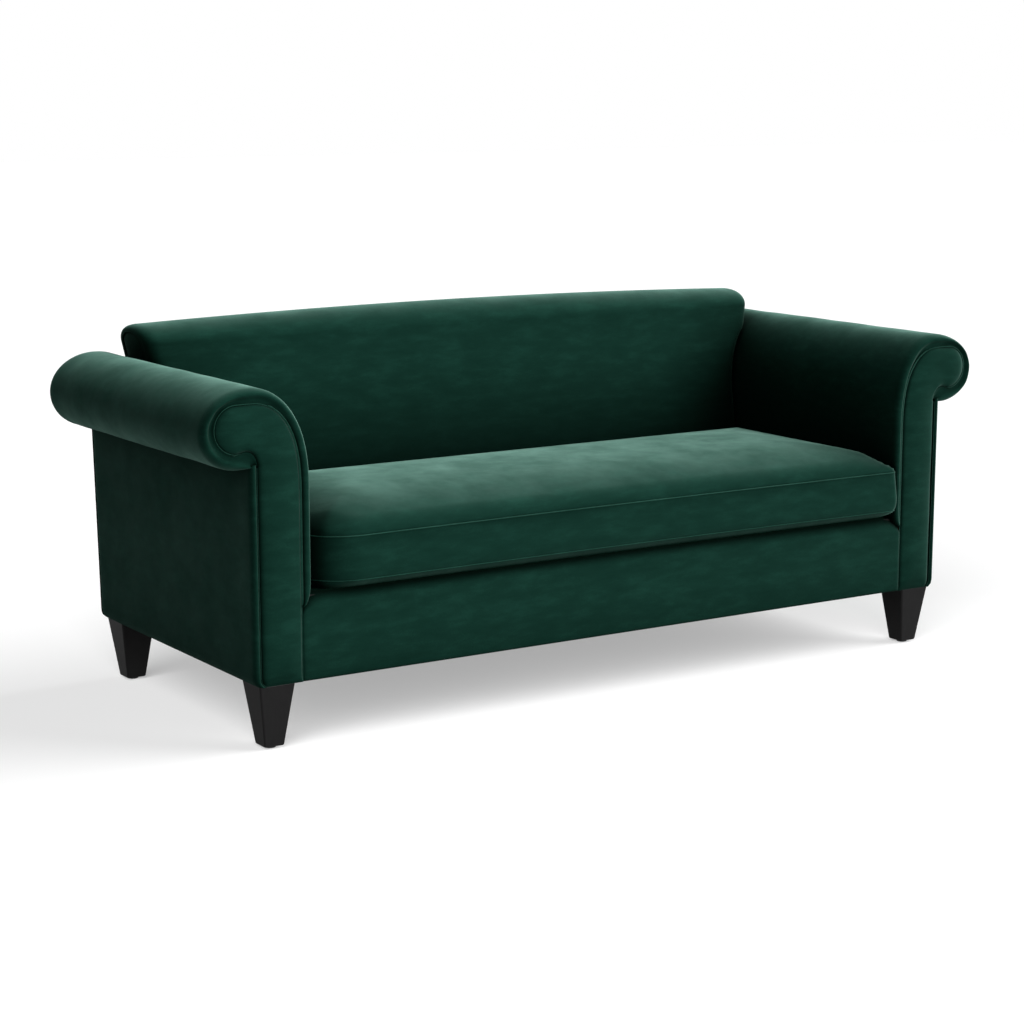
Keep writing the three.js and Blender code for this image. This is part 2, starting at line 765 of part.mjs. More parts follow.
function seatPieces() {
  const seat = new THREE.Group();
  const backRailFront = bodyDepth - timberRear - railThickness;
  const deckRear = backRailFront - gap;
  seat.add(
    piece("front_border", frontBorder(), velvet),
    piece(
      "front_rail",
      board(-deckHalf, deckHalf, lipRadius, lipRadius + railThickness, timberZ, railTop),
      timber,
    ),
    piece(
      "centre_stretcher",
      board(-stretcherWidth / 2, stretcherWidth / 2, lipRadius + railThickness + gap, backRailFront - gap,
        timberZ, timberZ + stretcherHeight),
      timber,
    ),
    piece("seat_springs", springUnit(), steel),
    piece("deck_pad", board(-deckHalf, deckHalf, deckFront, deckRear, deckZ, deckTop), deckCloth),
    piece("dust_cover", dustCover(), dustCloth),
  );
  return seat;
}

// Legs

function legPlaces() {
  const x = bodyHalf - legSideInset - legTop / 2;
  const front = legFaceInset + legTop / 2;
  const rear = bodyDepth - legFaceInset - legTop / 2;
  return [
    { name: "front_left", x: -x, y: front },
    { name: "front_right", x, y: front },
    { name: "rear_left", x: -x, y: rear },
    { name: "rear_right", x, y: rear },
  ];
}

function rod(diameter, z0, z1, sides) {
  const geometry = new THREE.CylinderGeometry(diameter / 2, diameter / 2, z1 - z0, sides);
  geometry.rotateX(Math.PI / 2);
  geometry.translate(0, 0, (z0 + z1) / 2);
  return geometry;
}

function leg() {
  const [z0, z1] = [glideHeight, legHeight - gap];
  const taper = new THREE.CylinderGeometry(legTop / Math.SQRT2, legFoot / Math.SQRT2, z1 - z0, 4);
  taper.rotateY(Math.PI / 4);
  taper.rotateX(Math.PI / 2);
  taper.translate(0, 0, (z0 + z1) / 2);
  const bore = rod(boltDiameter + 2 * boltPlay, z1 - boltInLeg - gap, z1 + overrun, boltSides);
  return cut(taper, bore);
}

// A corner block fills the space from the end of a seat rail to the side rail.
function cornerBlock(place) {
  const sideX = Math.sign(place.x);
  const [x0, x1] = [deckHalf + gap, sideRailOuter - railThickness - gap].map((x) => sideX * x - place.x);
  const front = place.y < bodyDepth / 2;
  const y0 = front ? boardBack + gap : rearBoardFront - gap - blockDepth;
  const block = board(Math.min(x0, x1), Math.max(x0, x1), y0 - place.y, y0 + blockDepth - place.y,
    timberZ, timberZ + blockHeight);
  const bore = rod(boltDiameter + 2 * boltPlay, timberZ - overrun, timberZ + boltInBlock + gap, boltSides);
  return cut(block, bore);
}

function legPieces() {
  const legs = new THREE.Group();
  for (const place of legPlaces()) {
    const corner = new THREE.Group();
    corner.position.set(place.x, place.y, 0);
    corner.add(
      piece(`leg_${place.name}`, leg(), blackLacquer),
      piece(`glide_${place.name}`, rod(glideDiameter, 0, glideHeight - gap, glideSides), nylon),
      piece(
        `leg_bolt_${place.name}`,
        rod(boltDiameter, legHeight - gap - boltInLeg, timberZ + boltInBlock, boltSides),
        steel,
      ),
      piece(`corner_block_${place.name}`, cornerBlock(place), timber),
    );
    legs.add(corner);
  }
  return legs;
}

// Seat cushion

const cushionHalf = armInner - cushionPlay;
const cushionFront = -cushionReach;
const cushionZ = borderTop + gap;
const bottomSeam = cushionZ + bottomRound;
const cushionBack = backFaceY(bottomSeam) - cushionRear;
const topSeam = bottomSeam + boxingHeight;
const cushionY = (cushionFront + cushionBack) / 2;
const cushionHalfDepth = (cushionBack - cushionFront) / 2;
const zipLength = seatWidth - 2 * zipInset;

// One ring of the cushion: its outline drawn in by an inset, with rounded corners. The front and the short sides
// pull in at mid length, and the rear lies flat along the back.
function cushionRing(inset, z) {
  const halfX = cushionHalf - inset;
  const halfY = cushionHalfDepth - inset;
  const corner = Math.min(cushionCorner, halfY / 2);
  const ring = [];
  const corners = [[1, 1], [-1, 1], [-1, -1], [1, -1]];
  corners.forEach(([sx, sy], q) => {
    for (let i = 0; i < cushionCornerSteps; i++) {
      const angle = (Math.PI / 2) * (q + i / cushionCornerSteps);
      ring.push([
        sx * (halfX - corner) + corner * Math.cos(angle),
        sy * (halfY - corner) + corner * Math.sin(angle),
      ]);
    }
    const end = (Math.PI / 2) * (q + 1);
    const start = [sx * (halfX - corner) + corner * Math.cos(end), sy * (halfY - corner) + corner * Math.sin(end)];
    const [nx, ny] = corners[(q + 1) % 4];
    const next = [
      nx * (halfX - corner) + corner * Math.cos(end),
      ny * (halfY - corner) + corner * Math.sin(end),
    ];
    const steps = q % 2 === 0 ? cushionLongSteps : cushionShortSteps;
    for (let i = 0; i < steps; i++) {
      ring.push([0, 1].map((axis) => start[axis] + ((next[axis] - start[axis]) * i) / steps));
    }
  });
  const drawAt = (along, reach) => Math.max(0, 1 - (along / (reach - corner)) ** 2);
  return ring.map(([x, y]) => [
    x - shortDraw * Math.sign(x) * (Math.abs(x) / halfX) ** drawPower * drawAt(y, halfY),
    cushionY + y + (y < 0 ? longDraw * (Math.abs(y) / halfY) ** drawPower * drawAt(x, halfX) : 0),
    z,
  ]);
}

function cushionBody(inset) {
  const crownAt = (share) => topSeam + cushionCrown * (1 - (1 - share) ** crownPower) - inset;
  const floor = cushionZ + inset;
  const rings = [
    ...undersideShares.map((share) => cushionRing(inset + share * cushionHalfDepth, floor)),
    cushionRing(inset + boxingSwell, bottomSeam),
    cushionRing(inset, (bottomSeam + topSeam) / 2),
    cushionRing(inset + boxingSwell, topSeam),
    ...crownShares.map((share) => cushionRing(inset + boxingSwell + share * cushionHalfDepth, crownAt(share))),
  ];
  return stack(rings, [0, cushionY, floor], [0, cushionY, topSeam + cushionCrown - inset]);
}

const zipZ = (bottomSeam + topSeam) / 2;

function cushionPieces() {
  const cushion = new THREE.Group();
  const slot = board(-zipLength / 2, zipLength / 2, cushionY, cushionBack + overrun,
    zipZ - zipHeight / 2, zipZ + zipHeight / 2);
  cushion.add(
    piece("cushion_cover", cut(cushionBody(0), cushionBody(cushionCloth), slot), velvet),
    piece("cushion_foam", cushionBody(cushionCloth + gap), foam),
    piece(
      "cushion_zip",
      board(gap - zipLength / 2, zipLength / 2 - gap, cushionBack - zipTape, cushionBack,
        zipZ - zipHeight / 2 + gap, zipZ + zipHeight / 2 - gap),
      nylon,
    ),
    piece(
      "zip_slider",
      board(-zipLength / 2, sliderLength - zipLength / 2, cushionBack + gap, cushionBack + gap + sliderThickness,
        zipZ - sliderHeight / 2, zipZ + sliderHeight / 2),
      steel,
    ),
  );
  return cushion;
}

// Assembly
const rightArm = armPieces("right");
const leftArm = armPieces("left");
leftArm.scale.x = -1;

const sofa = new THREE.Group();
sofa.add(leftArm, rightArm, backPieces(), seatPieces(), legPieces(), cushionPieces());
sofa.position.y = (cushionReach - rearY(shoulderHeight)) / 2;

export default sofa;
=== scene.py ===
"""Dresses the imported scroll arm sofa: velvet upholstery, one bench cushion, lacquered legs and a plain studio.

Lengths are in metres. Inside the classes, x runs along the seat, y runs back from the front of the arm facings
and z up from the floor; place() moves such points into the frame's own coordinates.
"""

import logging
import math
from dataclasses import dataclass
from enum import Enum

import bmesh
import bpy
import numpy as np
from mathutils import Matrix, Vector, geometry, noise

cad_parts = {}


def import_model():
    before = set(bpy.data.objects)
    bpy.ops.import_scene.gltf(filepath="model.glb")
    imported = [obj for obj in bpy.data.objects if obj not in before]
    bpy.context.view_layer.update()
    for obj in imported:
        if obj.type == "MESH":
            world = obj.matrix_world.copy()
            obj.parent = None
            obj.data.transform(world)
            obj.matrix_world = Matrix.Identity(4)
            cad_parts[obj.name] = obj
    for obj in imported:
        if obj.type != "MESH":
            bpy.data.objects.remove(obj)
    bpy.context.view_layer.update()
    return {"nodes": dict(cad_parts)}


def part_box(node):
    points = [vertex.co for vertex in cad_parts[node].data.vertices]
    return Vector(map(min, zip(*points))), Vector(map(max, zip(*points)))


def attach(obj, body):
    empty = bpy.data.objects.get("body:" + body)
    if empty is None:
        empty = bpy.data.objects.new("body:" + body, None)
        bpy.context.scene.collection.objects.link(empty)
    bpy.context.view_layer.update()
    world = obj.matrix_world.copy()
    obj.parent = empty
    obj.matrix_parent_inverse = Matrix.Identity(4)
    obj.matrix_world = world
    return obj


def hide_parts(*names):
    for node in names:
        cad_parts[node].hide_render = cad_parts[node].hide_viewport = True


logging.basicConfig(level=logging.INFO, format="%(message)s")
log = logging.getLogger("sofa")

WELD = 1e-6  # vertices this close are one
STEP = 1e-4  # neighbours on a line that lie closer than this are one
TINY = 1e-12  # keeps a division from dividing by nothing


class Side(Enum):
    """An end of the sofa; the value is the sign of its X."""

    LEFT = -1
    RIGHT = 1

    @property
    def label(self) -> str:
        """The side's name, as the CAD nodes use it."""
        return self.name.lower()


# Mesh helpers


def place(points: np.ndarray, front: float) -> np.ndarray:
    """Moves points measured from the arm facings into the frame.

    Args:
        points: Array of x, y, z with any leading shape.
        front: The frame's Y of the arm facings' foremost line.

    Returns:
        The moved copy.
    """
    return points + np.array([0.0, front, 0.0])


def smooth(edge0: float, edge1: float, value: np.ndarray) -> np.ndarray:
    """Rises smoothly from 0 at edge0 to 1 at edge1.

    Args:
        edge0: Where the rise starts.
        edge1: Where it ends; it may be below edge0.
        value: Places to evaluate.

    Returns:
        Weights from 0 to 1, in the shape of value.
    """
    share = np.clip((np.asarray(value, float) - edge0) / (edge1 - edge0), 0.0, 1.0)
    return share * share * (3.0 - 2.0 * share)


def ripple(points: np.ndarray, wavelength: tuple[float, float, float], seed: float) -> np.ndarray:
    """Soft random waves over points, the same on each run.

    Args:
        points: Array of x, y, z with any leading shape.
        wavelength: Typical length of a wave along each axis.
        seed: Moves the pattern.

    Returns:
        Values of about -1 to 1, in the leading shape of points.
    """
    scaled = points.reshape(-1, 3) / np.array(wavelength) + seed
    values = [noise.noise(Vector(p)) for p in scaled]
    return np.array(values).reshape(points.shape[:-1])


def mesh_object(name: str, points: np.ndarray, faces: list, outward: bool = True,
                flip: bool = False) -> bpy.types.Object:
    """Makes a smooth-shaded mesh object at the origin.

    Args:
        name: The object's name.
        points: Vertices, one row each.
        faces: Vertex indices of each face.
        outward: Whether to turn the faces to point outwards from the mesh.
        flip: Whether to turn them all round first.

    Returns:
        The new object.
    """
    mesh = bpy.data.meshes.new(name)
    turned = [face[::-1] for face in faces] if flip else faces
    mesh.from_pydata(np.asarray(points, float).reshape(-1, 3).tolist(), [], turned)
    built = bmesh.new()
    built.from_mesh(mesh)
    bmesh.ops.remove_doubles(built, verts=built.verts, dist=WELD)
    if outward:
        bmesh.ops.recalc_face_normals(built, faces=built.faces)
    built.to_mesh(mesh)
    built.free()
    mesh.polygons.foreach_set("use_smooth", [True] * len(mesh.polygons))
    obj = bpy.data.objects.new(name, mesh)
    bpy.context.scene.collection.objects.link(obj)
    return obj


def grid_faces(rows: int, columns: int, loop: bool = False) -> list:
    """Quads over a grid of points that are listed row by row.

    Args:
        rows: Number of rows.
        columns: Number of columns.
        loop: Whether the last column joins the first.

    Returns:
        Vertex indices of each quad.
    """
    faces = []
    for r in range(rows - 1):
        for c in range(columns if loop else columns - 1):
            d = (c + 1) % columns
            faces.append((r * columns + c, r * columns + d, (r + 1) * columns + d, (r + 1) * columns + c))
    return faces


def sheet(name: str, grid: np.ndarray, flip: bool = False) -> bpy.types.Object:
    """Makes a smooth-shaded sheet over a grid of points, with its faces turned round if flip is set."""
    return mesh_object(name, grid, grid_faces(*grid.shape[:2]), outward=False, flip=flip)


def rim(rows: int, columns: int) -> list:
    """Walks round the rim of a grid.

    Args:
        rows: Number of rows.
        columns: Number of columns.

    Returns:
        Row and column of each point on the rim, in order.
    """
    last, end = rows - 1, columns - 1
    return ([(0, c) for c in range(end)] + [(r, end) for r in range(last)]
            + [(last, c) for c in range(end, 0, -1)] + [(r, 0) for r in range(last, 0, -1)])


def closed_grid(top: np.ndarray, under: np.ndarray, sides: tuple = ()) -> tuple[np.ndarray, list, list]:
    """Joins the rims of two grids of points into a closed body.

    Args:
        top: The upper grid, rows by columns.
        under: The lower grid, of the same size.
        sides: Rings of points between the two rims, from the lower to the upper.

    Returns:
        The points, the faces, and the vertices of each ring from the lower rim to the upper.
    """
    rows, columns = top.shape[:2]
    count = rows * columns
    faces = grid_faces(rows, columns)
    faces += [tuple(count + i for i in f[::-1]) for f in faces]
    upper = [r * columns + c for r, c in rim(rows, columns)]
    around = len(upper)
    loops = [[count + i for i in upper]]
    loops += [[2 * count + k * around + i for i in range(around)] for k in range(len(sides))]
    loops.append(upper)
    for low, high in zip(loops, loops[1:]):
        faces += [(low[i - 1], low[i], high[i], high[i - 1]) for i in range(1, around)]
        faces.append((low[-1], low[0], high[0], high[-1]))
    return np.concatenate([top.reshape(-1, 3), under.reshape(-1, 3), *sides]), faces, loops


def tube(name: str, path: np.ndarray, radius: np.ndarray, sides: int = 8,
         closed: bool = False) -> bpy.types.Object:
    """Makes a round cord along a path.

    Args:
        name: The object's name.
        path: Points along the middle of the cord.
        radius: Its radius at each point.
        sides: Number of faces round it.
        closed: Whether the path joins up with its start.

    Returns:
        The new object.
    """
    tangent = np.gradient(path, axis=0)
    if closed:
        tangent = np.roll(path, -1, axis=0) - np.roll(path, 1, axis=0)
    tangent /= np.linalg.norm(tangent, axis=1)[:, None]
    helper = np.where(np.abs(tangent[:, 1:2]) > 0.9, np.array([[1.0, 0.0, 0.0]]), np.array([[0.0, 1.0, 0.0]]))
    u = np.cross(tangent, helper)
    u /= np.linalg.norm(u, axis=1)[:, None]
    v = np.cross(tangent, u)
    angles = np.linspace(0.0, 2.0 * math.pi, sides, endpoint=False)
    rings = path[:, None] + radius[:, None, None] * (
        np.cos(angles)[None, :, None] * u[:, None] + np.sin(angles)[None, :, None] * v[:, None]
    )
    count = len(path)
    if closed:
        rings = np.concatenate([rings, rings[:1]])
        count += 1
    return mesh_object(name, rings, grid_faces(count, sides, loop=True))


def filled(outline: np.ndarray, spacing: float, rims: list) -> tuple[np.ndarray, list, np.ndarray]:
    """Fills a closed flat outline with even triangles.

    Args:
        outline: Points of the outline, two coordinates each.
        spacing: Distance between the points inside.
        rims: Further outlines inside the first one, whose points are kept as they are.

    Returns:
        The points, the triangles and each point's distance to the outline.
    """
    low, high = outline.min(axis=0), outline.max(axis=0)
    rows = np.arange(low[1], high[1], spacing * math.sqrt(3.0) / 2.0)
    inside = np.array([(x + (spacing / 2.0 if r % 2 else 0.0), z) for r, z in enumerate(rows)
                       for x in np.arange(low[0], high[0], spacing)])
    # The points inside stay these shares of their spacing off the outline and off the last rim.
    off_outline, off_rim = 0.6, 0.4
    rings = [outline, *rims]
    keep = (distance_to(inside, outline) > spacing * off_outline) & within(inside, rings[-1])
    if rims:
        keep &= distance_to(inside, rings[-1]) > spacing * off_rim
    points = np.concatenate([*rings, inside[keep]])
    edges = []
    start = 0
    for ring in rings:
        edges += [(start + i, start + (i + 1) % len(ring)) for i in range(len(ring))]
        start += len(ring)
    made = geometry.delaunay_2d_cdt(
        [Vector(p) for p in points], edges, [list(range(len(outline)))], 1, WELD / 10.0)
    flat = np.array([tuple(v) for v in made[0]])
    return flat, [tuple(f) for f in made[2]], distance_to(flat, outline)


def drawn_in(outline: np.ndarray, step: float) -> np.ndarray:
    """Moves a closed flat outline inwards.

    Args:
        outline: The outline's corners.
        step: How far.

    Returns:
        The moved corners, in the same order.
    """
    before, after = outline - np.roll(outline, 1, axis=0), np.roll(outline, -1, axis=0) - outline
    before /= np.linalg.norm(before, axis=1)[:, None]
    after /= np.linalg.norm(after, axis=1)[:, None]
    x, z = outline[:, 0], outline[:, 1]
    turn = math.copysign(1.0, float(np.sum(x * np.roll(z, -1) - np.roll(x, -1) * z)))
    normal = np.column_stack([-(before + after)[:, 1], (before + after)[:, 0]]) * turn
    normal /= np.linalg.norm(normal, axis=1)[:, None]
    lean = np.sum(normal * np.column_stack([-before[:, 1], before[:, 0]]) * turn, axis=1)
    least_lean = 0.6  # a sharper corner isn't moved further than this gives
    return outline + normal * (step / np.maximum(lean, least_lean))[:, None]


def rounded(points: np.ndarray, times: int = 3) -> np.ndarray:
    """Cuts the corners of an open line until it runs smoothly between its ends.

    Args:
        points: The line's corners.
        times: How often they are cut.

    Returns:
        The smoother line.
    """
    for _ in range(times):
        quarter = points[:-1] * 0.75 + points[1:] * 0.25
        third = points[:-1] * 0.25 + points[1:] * 0.75
        cut = np.stack([quarter, third], axis=1).reshape(-1, points.shape[1])
        points = np.concatenate([points[:1], cut[1:-1], points[-1:]])
    return points


def along(points: np.ndarray, shares: np.ndarray) -> np.ndarray:
    """Places at given shares of a line's length.

    Args:
        points: The line's corners.
        shares: Shares of its length, from 0 to 1.

    Returns:
        One point for each share.
    """
    length = np.concatenate([[0.0], np.cumsum(np.linalg.norm(np.diff(points, axis=0), axis=1))])
    return np.column_stack([np.interp(shares * length[-1], length, column) for column in points.T])


def distance_to(points: np.ndarray, outline: np.ndarray) -> np.ndarray:
    """Distance from each point to a closed outline.

    Args:
        points: Flat points.
        outline: The outline's corners.

    Returns:
        One distance for each point.
    """
    nearest = np.full(len(points), np.inf)
    for start, end in zip(outline, np.roll(outline, -1, axis=0)):
        edge = end - start
        share = np.clip((points - start) @ edge / max(edge @ edge, TINY), 0.0, 1.0)
        nearest = np.minimum(nearest, np.linalg.norm(points - start - share[:, None] * edge, axis=1))
    return nearest


def within(points: np.ndarray, outline: np.ndarray) -> np.ndarray:
    """Whether each point lies inside a closed outline.

    Args:
        points: Flat points.
        outline: The outline's corners.

    Returns:
        One truth value for each point.
    """
    inside = np.zeros(len(points), bool)
    for (x0, z0), (x1, z1) in zip(outline, np.roll(outline, -1, axis=0)):
        crosses = (z0 > points[:, 1]) != (z1 > points[:, 1])
        height = z1 - z0 if z1 != z0 else TINY
        inside ^= crosses & (points[:, 0] < (x1 - x0) * (points[:, 1] - z0) / height + x0)
    return inside


# Finishes


def linear(colour: str) -> tuple[float, float, float, float]:
    """Turns an sRGB hex colour into linear values.

    Args:
        colour: Six hex digits after a hash.

    Returns:
        Red, green, blue and alpha.
    """
    parts = [int(colour[i:i + 2], 16) / 255.0 for i in (1, 3, 5)]
    values = [p / 12.92 if p <= 0.04045 else ((p + 0.055) / 1.055) ** 2.4 for p in parts]
    return (values[0], values[1], values[2], 1.0)


def add_node(tree: bpy.types.NodeTree, kind: str, settings: dict | None = None, inputs: dict | None = None,
             stops: tuple = ()) -> bpy.types.Node:
    """Adds one node with its settings and links.

    Args:
        tree: The node tree.
        kind: The node's type name.
        settings: Attributes to set on the node.
        inputs: For each input's name or number, a value or the socket that feeds it.
        stops: For a colour ramp, pairs of a position and a hex colour.

    Returns:
        The new node.
    """
    node = tree.nodes.new(kind)
    for name, value in (settings or {}).items():
        setattr(node, name, value)
    for name, value in (inputs or {}).items():
        socket = node.inputs[name]
        if isinstance(value, bpy.types.NodeSocket):
            tree.links.new(value, socket)
        else:
            socket.default_value = value
    for index, (position, colour) in enumerate(stops):
        elements = node.color_ramp.elements
        element = elements[index] if index < len(elements) else elements.new(position)
        element.position = position
        element.color = linear(colour)
    return node


def blank_material(name: str) -> tuple[bpy.types.Material, bpy.types.NodeTree]:
    """Makes a material with an empty node tree.

    Args:
        name: The material's name.

    Returns:
        The material and its tree.
    """
    material = bpy.data.materials.new(name)
    material.use_nodes = True
    material.node_tree.nodes.clear()
    return material, material.node_tree


@dataclass(frozen=True)
class CottonVelvet:
    """Bottle green cotton velvet, woven with a short cut pile and brushed.

    The pile gives the eye a deep, nearly black green face on, and soft brushed streaks where it leans different
    ways.
    The pale silvery green where it is seen along the surface is a painted sheen mixed into the base colour, and
    near other pieces the colour is painted darker, a painted shade.
    """

    name: str = "cotton_velvet"
    deep: str = "#0f3128"
    middle: str = "#163b31"
    brushed: str = "#204c40"
    # painted sheen colour, mixed into the base colour where the cloth is seen along its surface
    painted_sheen: str = "#82ac9f"
    sheen: str = "#3d8a6f"
    # painted shade colour, and how near and how fast it darkens the velvet beside other pieces
    painted_shade: str = "#02120c"
    shade_reach: float = 0.24  # how near another piece must stand to deepen the colour
    shade_closeness: float = 2.6  # how fast the colour deepens there
    painted_sheen_share: float = 0.89  # how much of the pale pile shows where the surface is seen along its length
    painted_sheen_power: float = 3.8  # how closely the pale pile keeps to the edges of a form
    lean: tuple[float, float] = (0.68, 1.28)  # least and most of it, as the pile leans away or towards the eye
    patch: float = 0.11  # size of a patch of leaning pile
    dent: float = 0.0016  # depth of a patch
    streak: float = 0.022  # height of a brushed streak
    streaking: float = 0.3  # how far the streaks move the tone
    stretch: tuple[float, float, float] = (0.3, 0.42, 1.0)  # streaks are brushed out along and across the seat
    clump: float = 0.0022  # tufts of the pile, drawn about three times their real 0.7 mm so that they show
    tuft: float = 0.0006  # height of a tuft
    mottling: float = 0.12  # how far the tufts move the tone

    def material(self) -> bpy.types.Material:
        """Builds the velvet.

        Returns:
            The finished material.
        """
        material, tree = blank_material(self.name)
        at = add_node(tree, "ShaderNodeTexCoord").outputs["Object"]
        streaked = add_node(tree, "ShaderNodeMapping", inputs={"Vector": at, "Scale": self.stretch})
        patches = add_node(tree, "ShaderNodeTexNoise", inputs={
            "Vector": at, "Scale": 1.0 / self.patch, "Detail": 6.0, "Roughness": 0.62})
        streaks = add_node(tree, "ShaderNodeTexNoise", inputs={
            "Vector": streaked.outputs["Vector"], "Scale": 1.0 / self.streak, "Detail": 3.0, "Roughness": 0.6})
        tufts = add_node(tree, "ShaderNodeTexNoise", inputs={
            "Vector": at, "Scale": 1.0 / self.clump, "Detail": 2.0, "Roughness": 0.6})
        nap = add_node(tree, "ShaderNodeMath", {"operation": "MULTIPLY_ADD"}, {
            0: streaks.outputs["Fac"], 1: self.streaking, 2: 0.5 - self.streaking / 2.0})
        grain = add_node(tree, "ShaderNodeMath", {"operation": "MULTIPLY_ADD"}, {
            0: tufts.outputs["Fac"], 1: self.mottling, 2: -self.mottling / 2.0})
        tone = add_node(tree, "ShaderNodeMath", {"operation": "ADD"}, {
            0: nap.outputs["Value"], 1: grain.outputs["Value"]})
        colour = add_node(tree, "ShaderNodeValToRGB", inputs={"Fac": tone.outputs["Value"]}, stops=(
            (0.36, self.deep), (0.5, self.middle), (0.64, self.brushed)))
        pile = add_node(tree, "ShaderNodeBump", inputs={
            "Height": tufts.outputs["Fac"], "Strength": 0.22, "Distance": self.tuft})
        dents = add_node(tree, "ShaderNodeBump", inputs={
            "Height": patches.outputs["Fac"], "Strength": 0.3, "Distance": self.dent,
            "Normal": pile.outputs["Normal"]})
        # Painted sheen: the colour is mixed towards pale green where the cloth is seen along its surface, as the
        # pile's tips catch light.
        grazing = add_node(tree, "ShaderNodeLayerWeight", inputs={
            "Blend": 0.5, "Normal": dents.outputs["Normal"]})
        along_surface = add_node(tree, "ShaderNodeMath", {"operation": "POWER"}, {
            0: grazing.outputs["Facing"], 1: self.painted_sheen_power})
        leaning = add_node(tree, "ShaderNodeMapRange", inputs={
            "Value": patches.outputs["Fac"], "From Min": 0.34, "From Max": 0.66,
            "To Min": self.lean[0] * self.painted_sheen_share, "To Max": self.lean[1] * self.painted_sheen_share})
        painted_sheen_mask = add_node(tree, "ShaderNodeMath", {"operation": "MULTIPLY", "use_clamp": True}, {
            0: along_surface.outputs["Value"], 1: leaning.outputs["Result"]})
        mixed = add_node(tree, "ShaderNodeMix", {"data_type": "RGBA"}, {
            "Factor": painted_sheen_mask.outputs["Value"], 6: colour.outputs["Color"], 7: linear(self.painted_sheen)})
        # Painted shade: the colour is mixed towards near-black green where another piece stands close, as beside
        # a cushion or in a seam.
        occlusion = add_node(tree, "ShaderNodeAmbientOcclusion", {"samples": 8}, {"Distance": self.shade_reach})
        painted_shade_mask = add_node(tree, "ShaderNodeMath", {"operation": "POWER"}, {
            0: occlusion.outputs["AO"], 1: self.shade_closeness})
        shaded = add_node(tree, "ShaderNodeMix", {"data_type": "RGBA"}, {
            "Factor": painted_shade_mask.outputs["Value"], 6: linear(self.painted_shade), 7: mixed.outputs[2]})
        shader = add_node(tree, "ShaderNodeBsdfPrincipled", inputs={
            "Base Color": shaded.outputs[2], "Roughness": 0.9, "Normal": dents.outputs["Normal"],
            "IOR": 1.5, "Specular IOR Level": 0.03, "Sheen Weight": 0.12, "Sheen Roughness": 0.35,
            "Sheen Tint": linear(self.sheen)})
        add_node(tree, "ShaderNodeOutputMaterial", inputs={"Surface": shader.outputs["BSDF"]})
        return material


@dataclass(frozen=True)
class SatinLacquer:
    """Beech, stained black and sprayed with a satin lacquer: a soft sheen with faint grain lines in it."""

    name: str = "satin_black_lacquer"
    dark: str = "#060506"
    light: str = "#0e0d0e"
    roughness: float = 0.42
    grain: float = 0.0035  # width of a grain line
    run: float = 0.06  # its width over its length

    def material(self) -> bpy.types.Material:
        """Builds the lacquered timber.

        Returns:
            The finished material.
        """
        material, tree = blank_material(self.name)
        at = add_node(tree, "ShaderNodeTexCoord").outputs["Object"]
        stretched = add_node(tree, "ShaderNodeMapping", inputs={"Vector": at, "Scale": (1.0, 1.0, self.run)})
        grain = add_node(tree, "ShaderNodeTexNoise", inputs={
            "Vector": stretched.outputs["Vector"], "Scale": 1.0 / self.grain, "Detail": 5.0, "Roughness": 0.6})
        colour = add_node(tree, "ShaderNodeValToRGB", inputs={"Fac": grain.outputs["Fac"]}, stops=(
            (0.35, self.dark), (0.7, self.light)))
        rough = add_node(tree, "ShaderNodeMapRange", inputs={
            "Value": grain.outputs["Fac"], "To Min": self.roughness - 0.06, "To Max": self.roughness + 0.08})
        bump = add_node(tree, "ShaderNodeBump", inputs={
            "Height": grain.outputs["Fac"], "Strength": 0.15, "Distance": 0.0003})
        shader = add_node(tree, "ShaderNodeBsdfPrincipled", inputs={
            "Base Color": colour.outputs["Color"], "Roughness": rough.outputs["Result"],
            "Normal": bump.outputs["Normal"], "IOR": 1.5, "Specular IOR Level": 0.36, "Coat Weight": 0.05,
            "Coat Roughness": 0.2})
        add_node(tree, "ShaderNodeOutputMaterial", inputs={"Surface": shader.outputs["BSDF"]})
        return material


@dataclass(frozen=True)
class SawnBeech:
    """Kiln-dried beech, planed for the frame: pale tan with short flecks along the grain."""

    name: str = "sawn_beech"
    pale: str = "#c9a678"
    dark: str = "#a37d50"
    roughness: float = 0.65
    fleck: float = 0.003  # width of a fleck
    ring: float = 0.025  # width of a growth ring
    run: float = 0.08  # their width over their length

    def material(self) -> bpy.types.Material:
        """Builds the bare timber.

        Returns:
            The finished material.
        """
        material, tree = blank_material(self.name)
        at = add_node(tree, "ShaderNodeTexCoord").outputs["Object"]
        stretched = add_node(tree, "ShaderNodeMapping", inputs={"Vector": at, "Scale": (self.run, 1.0, 1.0)})
        flecks = add_node(tree, "ShaderNodeTexNoise", inputs={
            "Vector": stretched.outputs["Vector"], "Scale": 1.0 / self.fleck, "Detail": 4.0, "Roughness": 0.6})
        rings = add_node(tree, "ShaderNodeTexNoise", inputs={
            "Vector": stretched.outputs["Vector"], "Scale": 1.0 / self.ring, "Detail": 2.0, "Distortion": 1.0})
        tone = add_node(tree, "ShaderNodeMath", {"operation": "MULTIPLY_ADD"}, {
            0: flecks.outputs["Fac"], 1: 0.5, 2: rings.outputs["Fac"]})
        colour = add_node(tree, "ShaderNodeValToRGB", inputs={"Fac": tone.outputs["Value"]}, stops=(
            (0.55, self.pale), (0.95, self.dark)))
        bump = add_node(tree, "ShaderNodeBump", inputs={
            "Height": flecks.outputs["Fac"], "Strength": 0.3, "Distance": 0.0003})
        shader = add_node(tree, "ShaderNodeBsdfPrincipled", inputs={
            "Base Color": colour.outputs["Color"], "Roughness": self.roughness,
            "Normal": bump.outputs["Normal"]})
        add_node(tree, "ShaderNodeOutputMaterial", inputs={"Surface": shader.outputs["BSDF"]})
        return material


